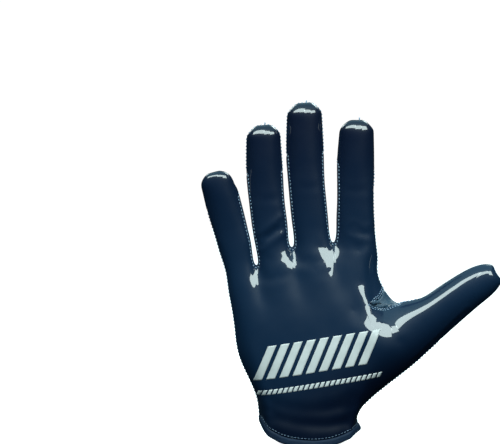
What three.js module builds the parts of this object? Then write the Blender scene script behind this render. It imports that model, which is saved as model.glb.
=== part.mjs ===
// Football receiver glove for a right hand, standing on its wrist opening with the fingers up.
// Millimetres: +X points to the thumb side, -Y is the palm, +Z runs up the fingers, and the
// origin is the centre of the wrist opening.
//
// A coarse cage of four-sided faces, worked out from the hand sizes below, is fitted so that its
// subdivision surface passes through the named points. One round of subdivision gives the
// glove's skin, which is cut along the seams into leather panels of one wall thickness.

import * as THREE from "three";

// Sizes of the hand that the glove is cut for.
const palmBreadth = 100;
const palmLength = 124;
const palmDepth = 34;
const wristBreadth = 65;
const wristDepth = 43;
const thumbLength = 63; // from the crotch to the tip, along the thumb
const thumbWidth = 27;
const thumbDepth = 24;
const thumbAngle = 38.5; // degrees above X

const fingers = [
  { name: "pinky", length: 64.5, width: 22.6, depth: 17, lean: 15.4, bow: -0.03, curl: 8, cap: 0.83, wrapped: true },
  { name: "ring", length: 84.2, width: 23.6, depth: 18, lean: 4.9, bow: 0.08, curl: 6, cap: 0.74, wrapped: false },
  { name: "middle", length: 91, width: 24.2, depth: 18.5, lean: 3.5, bow: 0.066, curl: 5, cap: 0.74, wrapped: false },
  { name: "index", length: 78.3, width: 24, depth: 18.5, lean: -0.4, bow: 0.016, curl: 6, cap: 0.735, wrapped: true },
];

// Leather, seams and trim.
const leather = 1.2;
const seamGap = 0.3;
const fourchetteHalf = 4.5; // half the width of the strips between the fingers
const fingerGap = 1; // between neighbouring fingers at their crotch
const hemHeight = 4.4;
const hemThickness = 2.4;
const tabThickness = 1.6;
const tabGap = 0.7;
const ribHeight = 0.9;
const ribPitch = 4.2;
const tabLength = 44;

// Where the fingers meet, from the little finger's outer side to the index finger's outer side:
// x in shares of palmBreadth, z in shares of palmLength.
const crotches = [
  { x: -0.545, z: 0.839 },
  { x: -0.335, z: 0.879 },
  { x: -0.104, z: 0.976 },
  { x: 0.164, z: 1 },
  { x: 0.452, z: 1 },
];

// Rings of a finger: straight is a share of the length below the tip's round, round is a share of
// that round, width and depth are shares of the finger's, spread says how far the ring still
// follows the finger's base, and seamAngle is where the side seams lie, in degrees from the side.
const fingerRings = [
  { straight: 0, round: 0, width: 1, depth: 1, spread: 1, seamAngle: 30 },
  { straight: 0.24, round: 0, width: 1.03, depth: 1.02, spread: 0.35, seamAngle: 30 },
  { straight: 0.49, round: 0, width: 1.01, depth: 1, spread: 0.05, seamAngle: 27 },
  { straight: 0, round: 0, width: 0.985, depth: 0.97, spread: 0, seamAngle: 18 },
  { straight: 1, round: 0, width: 0.95, depth: 0.9, spread: 0, seamAngle: 22 },
  { straight: 1, round: 0.58, width: 0.88, depth: 0.76, spread: 0, seamAngle: 27 },
  { straight: 1, round: 0.87, width: 0.58, depth: 0.38, spread: 0, seamAngle: 35 },
];
const tipDome = 0.09; // how far the middle of the last ring stands above its seams, in shares of the round
const capRing = 3; // its place along the finger is each finger's own cap share
const capLean = 0.21; // how far the wrapped tips' edge on the back slants, in finger widths

// Rows across the palm, from the wrist to just below the finger bases. Places are shares of the
// row's breadth and of palmLength, depths are shares of the row's depth. wrist says how far a row
// follows the wrist's sizes, spacing how far its columns follow the fingers, web how far its
// height follows the crotches, and draw how far the last columns keep clear of the thumb crotch.
// thumbFront and thumbBack raise the row's thumb end.
const palmRows = [
  {
    wrist: 1, spacing: 0, web: 0, dip: 1, draw: 0,
    left: { x: -0.478, z: 0.088 }, right: { x: 0.49, z: 0.046 }, backRight: { x: 0.49, z: 0.05 },
    front: 0.5, back: 0.5, thumbFront: 0, thumbBack: 0,
  },
  {
    wrist: 0.6, spacing: 0.1, web: 0, dip: 0.4, draw: 0,
    left: { x: -0.42, z: 0.194 }, right: { x: 0.463, z: 0.162 }, backRight: { x: 0.44, z: 0.155 },
    front: 0.53, back: 0.48, thumbFront: 0.06, thumbBack: 0.08,
  },
  {
    wrist: 0.25, spacing: 0.2, web: 0, dip: 0.1, draw: 0.02,
    left: { x: -0.427, z: 0.306 }, right: { x: 0.515, z: 0.37 }, backRight: { x: 0.515, z: 0.345 },
    front: 0.56, back: 0.47, thumbFront: 0.4, thumbBack: 0.24,
  },
  {
    wrist: 0, spacing: 0.35, web: 0.05, dip: 0, draw: 0.06,
    left: { x: -0.444, z: 0.419 }, right: { x: 0.51, z: 0.545 }, backRight: { x: 0.585, z: 0.51 },
    front: 0.54, back: 0.46, thumbFront: 0.34, thumbBack: 0.18,
  },
  {
    wrist: 0, spacing: 0.5, web: 0.2, dip: 0, draw: 0.1,
    left: { x: -0.466, z: 0.532 }, right: { x: 0.527, z: 0.677 }, backRight: { x: 0.54, z: 0.669 },
    front: 0.49, back: 0.44, thumbFront: 0, thumbBack: 0,
  },
  {
    wrist: 0, spacing: 0.7, web: 0.45, dip: 0, draw: 0.05,
    left: { x: -0.484, z: 0.637 }, right: { x: 0.442, z: 0.806 }, backRight: { x: 0.442, z: 0.806 },
    front: 0.45, back: 0.42, thumbFront: 0, thumbBack: 0,
  },
  {
    wrist: 0, spacing: 0.9, web: 0.8, dip: 0, draw: 0.01,
    left: { x: -0.508, z: 0.742 }, right: { x: 0.439, z: 0.903 }, backRight: { x: 0.439, z: 0.903 },
    front: 0.4, back: 0.38, thumbFront: 0, thumbBack: 0,
  },
];
const palmRoundness = 2.2; // power of the rows' arched sections
const palmHemDip = 0.087; // the palm side reaches lower at the hem, in shares of palmLength
const backHemRise = 0.03;
const thumbRows = { lower: 1, upper: 4 }; // rows between which the thumb joins the palm

// Rings of the thumb. Places are measured from the crotch, along in shares of thumbLength and
// across in shares of thumbWidth. slant shifts the ring's back half along the thumb, forward is
// how far the ring lies to the palm side, and depth is a share of thumbDepth.
const thumbCrotch = { x: 0.6, z: 0.682 }; // shares of palmBreadth and palmLength
const thumbRings = [
  { upper: { along: 0.01, across: -0.02 }, lower: { along: -0.4, across: -1.35 }, slant: 0, forward: 0.1, depth: 1.2 },
  { upper: { along: 0.19, across: -0.17 }, lower: { along: -0.04, across: -1.3 }, slant: 0.09, forward: 0.2, depth: 1.08 },
  { upper: { along: 0.41, across: -0.23 }, lower: { along: 0.29, across: -1.23 }, slant: 0.31, forward: 0.3, depth: 1 },
  { upper: { along: 0.64, across: -0.27 }, lower: { along: 0.58, across: -1.2 }, slant: 0.2, forward: 0.38, depth: 0.95 },
  { upper: { along: 0.84, across: -0.37 }, lower: { along: 0.8, across: -1.185 }, slant: 0.05, forward: 0.43, depth: 0.8 },
  { upper: { along: 0.945, across: -0.54 }, lower: { along: 0.915, across: -1.11 }, slant: 0, forward: 0.46, depth: 0.5 },
];
const thumbSeamAngles = [22, 24, 24, 26, 30, 35];
const thumbWrapRing = 2; // the glossy leather wraps over to the back beyond this ring

// The gusset's seams, from its corner below the index finger round to its corner on the thumb:
// x and z from the crotch, in shares of thumbWidth.
const gussetFront = [
  { x: -0.48, z: 0.15 },
  { x: -0.62, z: 0.07 },
  { x: -0.76, z: -0.005 },
  { x: -0.73, z: -0.09 },
  { x: -0.5, z: -0.12 },
  { x: -0.28, z: -0.115 },
  { x: -0.07, z: -0.06 },
];
const gussetBack = [
  { x: -0.365, z: 0.05 },
  { x: -0.37, z: -0.13 },
  { x: -0.345, z: -0.32 },
  { x: -0.22, z: -0.47 },
  { x: -0.1, z: -0.39 },
  { x: -0.03, z: -0.25 },
  { x: 0.04, z: -0.1 },
];

const degrees = Math.PI / 180;
const mix = THREE.MathUtils.lerp;

// The cage: points, and faces with the name of the panel that each of their corners belongs to.
const cage = { points: [], faces: [] };

function addPoint(point) {
  cage.points.push(point);
  return cage.points.length - 1;
}

function addFace(corners, panels) {
  cage.faces.push({ corners, panels });
}

// Points of one finger, ring by ring: four across the front and four across the back.
function fingerPoints(finger, index) {
  const from = crotches[index];
  const to = crotches[index + 1];
  const left = new THREE.Vector3(from.x * palmBreadth, 0, from.z * palmLength);
  const right = new THREE.Vector3(to.x * palmBreadth, 0, to.z * palmLength);
  const base = left.clone().lerp(right, 0.5);
  const baseAcross = right.clone().sub(left);
  const baseWidth = baseAcross.length() - fingerGap;
  baseAcross.normalize();
  const lean = finger.lean * degrees;
  const along = new THREE.Vector3(-Math.sin(lean), 0, Math.cos(lean));
  const across = new THREE.Vector3(Math.cos(lean), 0, Math.sin(lean));
  const round = finger.width / 2;
  const straight = finger.length - round;
  return fingerRings.map((ring, number) => {
    const share = number === capRing ? finger.cap : ring.straight;
    const reach = share * straight + ring.round * round;
    const done = reach / finger.length;
    const centre = base.clone().addScaledVector(along, reach);
    centre.addScaledVector(across, -finger.bow * finger.width * Math.sin(Math.PI * done));
    centre.y -= finger.curl * done * done;
    const width = mix(finger.width * ring.width, baseWidth, ring.spread);
    const direction = across.clone().lerp(baseAcross, ring.spread).normalize();
    const slant = number === capRing && finger.wrapped ? capLean * finger.width : 0;
    const outward = index === 0 ? 1 : -1;
    const section = (side) => fourAngles(ring.seamAngle).map((angle) => {
      const point = centre.clone().addScaledVector(direction, -Math.cos(angle) * width / 2);
      point.y += side * Math.sin(angle) * finger.depth * ring.depth / 2;
      if (side > 0) point.addScaledVector(along, -slant * outward * Math.cos(angle));
      if (number === fingerRings.length - 1) point.addScaledVector(along, tipDome * round * Math.sin(angle));
      return point;
    });
    return { front: section(-1).map(addPoint), back: section(1).map(addPoint) };
  });
}

// Four angles across half a section, from one seam to the other.
function fourAngles(seamAngle) {
  return [0, 1, 2, 3].map((step) => mix(seamAngle, 180 - seamAngle, step / 3) * degrees);
}

const fingerGrids = fingers.map(fingerPoints);
const baseFront = fingerGrids.flatMap((rings) => rings[0].front);
const baseBack = fingerGrids.flatMap((rings) => rings[0].back);
const lastColumn = baseFront.length - 1;

// One row of palm points on one side, -1 for the palm and 1 for the back.
function palmRow(row, side) {
  const top = (side < 0 ? baseFront : baseBack).map((id) => cage.points[id]);
  const breadth = mix(palmBreadth, wristBreadth, row.wrist);
  const depth = mix(palmDepth, wristDepth, row.wrist) * (side < 0 ? row.front : row.back);
  const end = side < 0 ? row.right : row.backRight;
  const raised = (side < 0 ? row.thumbFront : row.thumbBack) * palmDepth;
  const first = top[0];
  const last = top[lastColumn];
  return top.map((point, column) => {
    const even = column / lastColumn;
    const topShare = (point.x - first.x) / (last.x - first.x);
    const drawn = column < lastColumn ? row.draw * even ** 6 : 0;
    const share = mix(even, topShare, row.spacing) - drawn;
    const x = mix(row.left.x, end.x, share) * breadth;
    const webbing = row.web * (point.z - mix(first.z, last.z, topShare));
    const hem = side < 0
      ? -palmHemDip * (1 - Math.abs(2 * share ** 0.8 - 1) ** 2.4)
      : backHemRise * Math.sin(Math.PI * share ** 0.8);
    const z = (mix(row.left.z, end.z, share) + row.dip * hem) * palmLength + webbing;
    const across = Math.abs(2 * share - 1);
    const low = fourchetteHalf + (share > 0.5 ? raised : 0);
    const arch = (1 - across ** palmRoundness) ** (1 / palmRoundness);
    const arched = low + (depth - low) * arch;
    const knuckles = Math.max(0, row.web - 0.2) * (Math.abs(point.y) - mix(fourchetteHalf, arched, 0.9));
    return addPoint(new THREE.Vector3(x, side * (arched + Math.min(0, knuckles)), z));
  });
}

const front = [...palmRows.map((row) => palmRow(row, -1)), baseFront];
const back = [...palmRows.map((row) => palmRow(row, 1)), baseBack];
const topRow = front.length - 1;

// Rings of the thumb, the first of them the palm's own points.
const thumbOrigin = new THREE.Vector3(thumbCrotch.x * palmBreadth, 0, thumbCrotch.z * palmLength);
const thumbAlong = new THREE.Vector3(Math.cos(thumbAngle * degrees), 0, Math.sin(thumbAngle * degrees));
const thumbAcross = new THREE.Vector3(-Math.sin(thumbAngle * degrees), 0, Math.cos(thumbAngle * degrees));

function thumbPlace(place) {
  return thumbOrigin.clone()
    .addScaledVector(thumbAlong, place.along * thumbLength)
    .addScaledVector(thumbAcross, place.across * thumbWidth);
}

function thumbRing(ring, number) {
  const upper = thumbPlace(ring.upper);
  const lower = thumbPlace(ring.lower);
  const centre = upper.clone().lerp(lower, 0.5);
  centre.y = -ring.forward * thumbDepth;
  const half = upper.sub(lower).multiplyScalar(0.5);
  const section = (side) => fourAngles(thumbSeamAngles[number]).map((angle) => {
    const point = centre.clone().addScaledVector(half, Math.cos(angle));
    point.y += side * Math.sin(angle) * ring.depth * thumbDepth / 2;
    if (side > 0) point.addScaledVector(thumbAlong, -Math.cos(angle) * ring.slant * thumbLength);
    return addPoint(point);
  });
  return { front: section(-1), back: section(1) };
}

const joinRows = [0, 1, 2, 3].map((step) => thumbRows.upper - step);
const thumbGrid = [
  { front: joinRows.map((row) => front[row][lastColumn]), back: joinRows.map((row) => back[row][lastColumn]) },
  ...thumbRings.map(thumbRing),
];
const crotchFront = front[thumbRows.upper][lastColumn];
const crotchBack = back[thumbRows.upper][lastColumn];

// Panel names for a face's corners: the gusset takes the corners at the thumb crotch.
function panelsOf(corners, panelAt) {
  return corners.map((id, place) => {
    if (id === crotchFront || id === crotchBack) return "thumb_gusset";
    return typeof panelAt === "string" ? panelAt : panelAt[place];
  });
}

function joinFace(corners, panelAt) {
  addFace(corners, panelsOf(corners, panelAt));
}

for (let row = 0; row < topRow; row += 1) {
  for (let column = 0; column < lastColumn; column += 1) {
    const next = column + 1;
    joinFace([front[row][column], front[row][next], front[row + 1][next], front[row + 1][column]], "palm_panel");
    joinFace([back[row][next], back[row][column], back[row + 1][column], back[row + 1][next]], "back_panel");
  }
}

// Strips down the outer sides of the palm, half palm leather and half back leather.
function leftStrip(lowFront, highFront, highBack, lowBack, frontPanel, backPanel) {
  joinFace([lowFront, highFront, highBack, lowBack], [frontPanel, frontPanel, backPanel, backPanel]);
}

function rightStrip(lowFront, highFront, highBack, lowBack, frontPanel, backPanel) {
  joinFace([lowFront, lowBack, highBack, highFront], [frontPanel, backPanel, backPanel, frontPanel]);
}

for (let row = 0; row < topRow; row += 1) {
  const above = row + 1;
  leftStrip(front[row][0], front[above][0], back[above][0], back[row][0], "palm_panel", "back_panel");
  if (row >= thumbRows.lower && row < thumbRows.upper) continue;
  rightStrip(
    front[row][lastColumn], front[above][lastColumn], back[above][lastColumn], back[row][lastColumn],
    "palm_panel", "back_panel",
  );
}

const fourchetteNames = fingers.slice(1).map((finger, index) => `fourchette_${finger.name}_${fingers[index].name}`);

fingers.forEach((finger, index) => {
  const rings = fingerGrids[index];
  const tipPanel = finger.wrapped ? "palm_panel" : "back_panel";
  const leftPanel = fourchetteNames[index - 1];
  const rightPanel = fourchetteNames[index];
  for (let ring = 0; ring < rings.length - 1; ring += 1) {
    const low = rings[ring];
    const high = rings[ring + 1];
    const beyondCap = ring >= capRing;
    const backPanel = beyondCap ? tipPanel : "back_panel";
    for (let column = 0; column < 3; column += 1) {
      const next = column + 1;
      joinFace([low.front[column], low.front[next], high.front[next], high.front[column]], "palm_panel");
      joinFace([low.back[next], low.back[column], high.back[column], high.back[next]], backPanel);
    }
    const left = beyondCap ? undefined : leftPanel;
    const right = beyondCap ? undefined : rightPanel;
    leftStrip(low.front[0], high.front[0], high.back[0], low.back[0], left ?? "palm_panel", left ?? backPanel);
    rightStrip(low.front[3], high.front[3], high.back[3], low.back[3], right ?? "palm_panel", right ?? backPanel);
  }
  const tip = rings[rings.length - 1];
  for (let column = 0; column < 3; column += 1) {
    const corners = [tip.front[column], tip.front[column + 1], tip.back[column + 1], tip.back[column]];
    joinFace(corners, ["palm_panel", "palm_panel", tipPanel, tipPanel]);
  }
  if (rightPanel) {
    const beside = fingerGrids[index + 1][0];
    joinFace([rings[0].front[3], beside.front[0], beside.back[0], rings[0].back[3]], rightPanel);
  }
});

thumbGrid.slice(0, -1).forEach((low, number) => {
  const high = thumbGrid[number + 1];
  const backPanel = number >= thumbWrapRing ? "palm_panel" : "thumb_back_panel";
  for (let column = 0; column < 3; column += 1) {
    const next = column + 1;
    joinFace([low.front[next], high.front[next], high.front[column], low.front[column]], "palm_panel");
    joinFace([high.back[next], low.back[next], low.back[column], high.back[column]], backPanel);
  }
  leftStrip(low.front[0], high.front[0], high.back[0], low.back[0], "palm_panel", backPanel);
  rightStrip(low.front[3], high.front[3], high.back[3], low.back[3], "palm_panel", backPanel);
});
const thumbTip = thumbGrid[thumbGrid.length - 1];
for (let column = 0; column < 3; column += 1) {
  const next = column + 1;
  joinFace([thumbTip.front[next], thumbTip.back[next], thumbTip.back[column], thumbTip.front[column]], "palm_panel");
}

// Edges of a mesh of four-sided faces, each with its ends and the faces beside it.
function edgesOf(faces) {
  const edges = new Map();
  faces.forEach((face, number) => {
    face.corners.forEach((start, place) => {
      const end = face.corners[(place + 1) % 4];
      const key = edgeKey(start, end);
      if (!edges.has(key)) edges.set(key, { ends: [start, end], faces: [] });
      edges.get(key).faces.push(number);
    });
  });
  return edges;
}

function edgeKey(start, end) {
  return start < end ? `${start}_${end}` : `${end}_${start}`;
}

function meanOf(points) {
  const sum = new THREE.Vector3();
  points.forEach((point) => sum.add(point));
  return sum.divideScalar(points.length);
}

// For every point, what Catmull-Clark rules need: its neighbours, its faces and its open edges.
function surroundings(mesh) {
  const around = mesh.points.map(() => ({ beside: [], faces: [], open: [] }));
  mesh.faces.forEach((face, number) => face.corners.forEach((id) => around[id].faces.push(number)));
  for (const edge of edgesOf(mesh.faces).values()) {
    const [start, end] = edge.ends;
    around[start].beside.push(end);
    around[end].beside.push(start);
    if (edge.faces.length === 1) {
      around[start].open.push(end);
      around[end].open.push(start);
    }
  }
  return around;
}

// Where each point ends up on the smooth surface.
function limitPoints(mesh, around = surroundings(mesh)) {
  return mesh.points.map((point, id) => {
    const here = around[id];
    if (here.open.length) {
      return meanOf([point, point, point, point, ...here.open.map((other) => mesh.points[other])]);
    }
    const count = here.beside.length;
    const limit = point.clone().multiplyScalar(count * count);
    here.beside.forEach((other) => limit.addScaledVector(mesh.points[other], 4));
    here.faces.forEach((number) => {
      const corners = mesh.faces[number].corners;
      limit.add(mesh.points[corners[(corners.indexOf(id) + 2) % 4]]);
    });
    return limit.divideScalar(count * (count + 5));
  });
}

// Moves the points of a mesh until its smooth surface passes through the places they had.
function fitted(mesh) {
  const around = surroundings(mesh);
  const fit = { points: mesh.points.map((point) => point.clone()), faces: mesh.faces };
  for (let round = 0; round < 10; round += 1) {
    limitPoints(fit, around).forEach((limit, id) => {
      fit.points[id].add(mesh.points[id]).sub(limit);
    });
  }
  return fit;
}

// One Catmull-Clark step. Every quarter of a face belongs to the panel of its corner.
function subdivided(mesh) {
  const around = surroundings(mesh);
  const edges = edgesOf(mesh.faces);
  const middles = mesh.faces.map((face) => meanOf(face.corners.map((id) => mesh.points[id])));
  const points = mesh.points.map((point, id) => {
    const here = around[id];
    if (here.open.length) {
      const ends = here.open.map((other) => mesh.points[other]);
      return meanOf([...Array(6).fill(point), ...ends]);
    }
    const count = here.beside.length;
    const faceMean = meanOf(here.faces.map((number) => middles[number]));
    const edgeMean = meanOf(here.beside.map((other) => mesh.points[other].clone().add(point).divideScalar(2)));
    return faceMean.addScaledVector(edgeMean, 2).addScaledVector(point, count - 3).divideScalar(count);
  });
  const edgePoints = new Map();
  for (const [key, edge] of edges) {
    const ends = edge.ends.map((id) => mesh.points[id]);
    const sides = edge.faces.length === 2 ? edge.faces.map((number) => middles[number]) : [];
    edgePoints.set(key, points.push(meanOf([...ends, ...sides])) - 1);
  }
  const faces = [];
  const facePoints = mesh.faces.map((face, number) => {
    const middle = points.push(middles[number]) - 1;
    face.corners.forEach((id, place) => {
      const after = edgePoints.get(edgeKey(id, face.corners[(place + 1) % 4]));
      const before = edgePoints.get(edgeKey(id, face.corners[(place + 3) % 4]));
      faces.push({ corners: [id, after, middle, before], panels: Array(4).fill(face.panels[place]) });
    });
    return middle;
  });
  return { points, faces, edgePoints, facePoints };
}

const skin = subdivided(fitted(cage));
skin.points = limitPoints(skin);

// The smooth surface, one step finer than the skin.
const fine = subdivided(fitted(skin));
fine.points = limitPoints(fine);

// The outermost depth of a mesh at a place seen along Y, on the palm (-1) or the back (1).
function surfaceAt(mesh, x, z, side) {
  let best = null;
  for (const ids of trianglesOf(mesh)) {
    const [a, b, c] = ids.map((id) => mesh.points[id]);
    const area = (b.x - a.x) * (c.z - a.z) - (c.x - a.x) * (b.z - a.z);
    if (area * side >= 0) continue;
    const v = ((x - a.x) * (c.z - a.z) - (c.x - a.x) * (z - a.z)) / area;
    const w = ((b.x - a.x) * (z - a.z) - (x - a.x) * (b.z - a.z)) / area;
    if (v < 0 || w < 0 || v + w > 1) continue;
    const y = a.y + v * (b.y - a.y) + w * (c.y - a.y);
    if (best === null || y * side > best * side) best = y;
  }
  return best;
}

function trianglesOf(mesh) {
  mesh.triangles ??= mesh.faces.flatMap(({ corners: [a, b, c, d] }) => [[a, b, c], [a, c, d]]);
  return mesh.triangles;
}

// Moves the skin points on the gusset's seams, so that the seams run straight between corners.
function setGusset(grid, ring, places, side) {
  const upper = thumbRows.upper;
  const inner = lastColumn - 1;
  const crotch = grid[upper][lastColumn];
  const faceBetween = (a, b) => cage.faces.findIndex(({ corners }) => corners.includes(a) && corners.includes(b));
  const ids = [
    skin.edgePoints.get(edgeKey(crotch, grid[upper + 1][lastColumn])),
    skin.facePoints[faceBetween(crotch, grid[upper + 1][inner])],
    skin.edgePoints.get(edgeKey(crotch, grid[upper][inner])),
    skin.facePoints[faceBetween(crotch, grid[upper - 1][inner])],
    skin.edgePoints.get(edgeKey(crotch, grid[upper - 1][lastColumn])),
    skin.facePoints[faceBetween(crotch, ring[1])],
    skin.edgePoints.get(edgeKey(crotch, ring[0])),
  ];
  ids.forEach((id, number) => {
    const x = thumbOrigin.x + places[number].x * thumbWidth;
    const z = thumbOrigin.z + places[number].z * thumbWidth;
    const y = surfaceAt(fine, x, z, side);
    if (y !== null) skin.points[id].set(x, y, z);
  });
}

setGusset(front, thumbGrid[1].front, gussetFront, -1);
setGusset(back, thumbGrid[1].back, gussetBack, 1);

// Outward normals of the whole skin, so that neighbouring panels share their edges' direction.
function normalsOf(mesh) {
  const normals = mesh.points.map(() => new THREE.Vector3());
  mesh.faces.forEach(({ corners }) => {
    const [a, b, c, d] = corners.map((id) => mesh.points[id]);
    const normal = c.clone().sub(a).cross(d.clone().sub(b));
    corners.forEach((id) => normals[id].add(normal));
  });
  return normals.map((normal) => normal.normalize());
}

const normals = normalsOf(skin);

// Open edges of a set of faces, as a map from each boundary point to the next one.
function boundaryOf(faces) {
  const next = new Map();
  const inner = new Set();
  faces.forEach(({ corners }) => corners.forEach((start, place) => inner.add(`${start}_${corners[(place + 1) % 4]}`)));
  faces.forEach(({ corners }) => corners.forEach((start, place) => {
    const end = corners[(place + 1) % 4];
    if (!inner.has(`${end}_${start}`)) next.set(start, end);
  }));
  return next;
}

// A panel's edge points move in from the seam by half the seam gap.
function insetEdge(boundary, halfGap) {
  const before = new Map([...boundary].map(([start, end]) => [end, start]));
  const moved = new Map();
  for (const [id, end] of boundary) {
    const point = skin.points[id];
    const ahead = skin.points[end].clone().sub(point).normalize();
    const behind = point.clone().sub(skin.points[before.get(id)]).normalize();
    const inward = [ahead, behind].map((along) => normals[id].clone().cross(along).normalize());
    const middle = inward[0].clone().add(inward[1]).normalize();
    const lengthen = 1 / Math.max(0.5, middle.dot(inward[0]));
    moved.set(id, point.clone().addScaledVector(middle, halfGap * lengthen));
  }
  return moved;
}

// A closed wall of leather under the given faces of the skin.
function leatherGeometry(faces) {
  const boundary = boundaryOf(faces);
  const moved = insetEdge(boundary, seamGap / 2);
  const used = [...new Set(faces.flatMap(({ corners }) => corners))];
  const place = new Map(used.map((id, number) => [id, number]));
  const outer = used.map((id) => moved.get(id) ?? skin.points[id]);
  const inner = used.map((id, number) => outer[number].clone().addScaledVector(normals[id], -leather));
  const triangles = [];
  faces.forEach(({ corners }) => {
    const [a, b, c, d] = corners.map((id) => place.get(id));
    const shift = used.length;
    triangles.push(a, b, c, a, c, d);
    triangles.push(a + shift, c + shift, b + shift, a + shift, d + shift, c + shift);
  });
  for (const [start, end] of boundary) {
    const a = place.get(start);
    const b = place.get(end);
    triangles.push(b, a, a + used.length, b, a + used.length, b + used.length);
  }
  return indexedGeometry([...outer, ...inner], triangles);
}

function indexedGeometry(points, triangles) {
  const geometry = new THREE.BufferGeometry().setFromPoints(points);
  geometry.setIndex(triangles);
  geometry.computeVertexNormals();
  return geometry;
}

// A closed ring swept along a loop of frames, from a section of steps down and out.
function sweptRing(frames, section) {
  const points = frames.flatMap(({ point, down, out }) => section.map((step) => (
    point.clone().addScaledVector(down, step.down).addScaledVector(out, step.out)
  )));
  const sides = section.length;
  const triangles = [];
  frames.forEach((frame, number) => {
    const here = number * sides;
    const there = ((number + 1) % frames.length) * sides;
    for (let side = 0; side < sides; side += 1) {
      const next = (side + 1) % sides;
      triangles.push(here + side, there + next, there + side, here + side, here + next, there + next);
    }
  });
  return indexedGeometry(points, triangles);
}

// The wrist opening's loop, seen as the skin's own open edge.
function hemGeometry() {
  const next = boundaryOf(skin.faces);
  const loop = [next.keys().next().value];
  while (next.get(loop[loop.length - 1]) !== loop[0]) loop.push(next.get(loop[loop.length - 1]));
  const frames = loop.map((id, number) => {
    const ahead = skin.points[loop[(number + 1) % loop.length]];
    const behind = skin.points[loop[(number + loop.length - 1) % loop.length]];
    const along = ahead.clone().sub(behind).normalize();
    const down = along.clone().cross(normals[id]).normalize();
    return { point: skin.points[id], down, out: normals[id] };
  });
  const outside = (hemThickness - leather) / 2;
  const inside = outside - hemThickness;
  const soft = hemThickness / 4; // how far the corners are rounded off
  const bottom = seamGap + hemHeight;
  const section = [
    { down: seamGap, out: outside - soft },
    { down: seamGap + soft, out: outside },
    { down: bottom - soft, out: outside },
    { down: bottom, out: outside - soft },
    { down: bottom, out: inside + soft },
    { down: bottom - soft, out: inside },
    { down: seamGap, out: inside },
  ];
  return sweptRing(frames, section);
}

// The closure tab's outline on the back, from its blunt end towards the little finger's side:
// along in shares of tabLength, low and high above the hem in shares of tabLength.
const tabStart = 0.232; // the blunt end's x, in shares of wristBreadth
const tabOutline = [
  { along: 0, low: 0.17, high: 0.25 },
  { along: 0.04, low: 0.14, high: 0.29 },
  { along: 0.22, low: 0.03, high: 0.42 },
  { along: 0.45, low: 0.03, high: 0.58 },
  { along: 0.66, low: 0.03, high: 0.7 },
  { along: 0.8, low: 0.04, high: 0.7 },
  { along: 1, low: 0.06, high: 0.68 },
];
const ribLean = 0.69; // sideways run of a rib for each step up
const tabRowShares = [0, 0.1, 0.37, 0.63, 0.9, 1]; // the ribs stop short of the tab's edges
const columnsPerRib = 4;
const tabMargin = 0.1; // how far the first rib line starts before the blunt end, in shares of tabLength
const tabSpan = 1.32;

function outlineAt(along, edge) {
  const last = tabOutline[tabOutline.length - 1];
  if (along <= 0) return tabOutline[0][edge];
  if (along >= 1) return last[edge];
  const after = tabOutline.findIndex((station) => station.along > along);
  const from = tabOutline[after - 1];
  const to = tabOutline[after];
  return mix(from[edge], to[edge], (along - from.along) / (to.along - from.along));
}

// The height of the back leather's lower edge at x.
function backEdgeAt(x) {
  const edge = back[0].map((id) => skin.points[id]);
  const after = Math.max(1, edge.findIndex((point) => point.x > x));
  const from = edge[after - 1];
  const to = edge[after];
  return mix(from.z, to.z, (x - from.x) / (to.x - from.x));
}

// The point where a rib line, started at a share along the tab's middle, meets the tab's edge.
function ribEnd(start, edge) {
  const bluntX = tabStart * wristBreadth;
  const middle = 0.35 * tabLength;
  const startX = bluntX - start * tabLength;
  let up = middle;
  for (let round = 0; round < 12; round += 1) {
    const x = startX + ribLean * (up - middle);
    up = outlineAt((bluntX - x) / tabLength, edge) * tabLength;
  }
  const x = startX + ribLean * (up - middle);
  const kept = THREE.MathUtils.clamp(x, bluntX - tabLength, bluntX);
  return { x: kept, up: middle + (kept - startX) / ribLean };
}

// A point of the back leather's outer surface, with the direction that stands out from it.
function onBack(x, z) {
  const reach = 1;
  const depthAt = (atX, atZ) => surfaceAt(skin, atX, atZ, 1);
  const y = depthAt(x, z);
  const slopeX = (depthAt(x + reach, z) - depthAt(x - reach, z)) / (2 * reach);
  const slopeZ = (depthAt(x, z + reach) - depthAt(x, z - reach)) / (2 * reach);
  return { point: new THREE.Vector3(x, y, z), out: new THREE.Vector3(-slopeX, 1, -slopeZ).normalize() };
}

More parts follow.
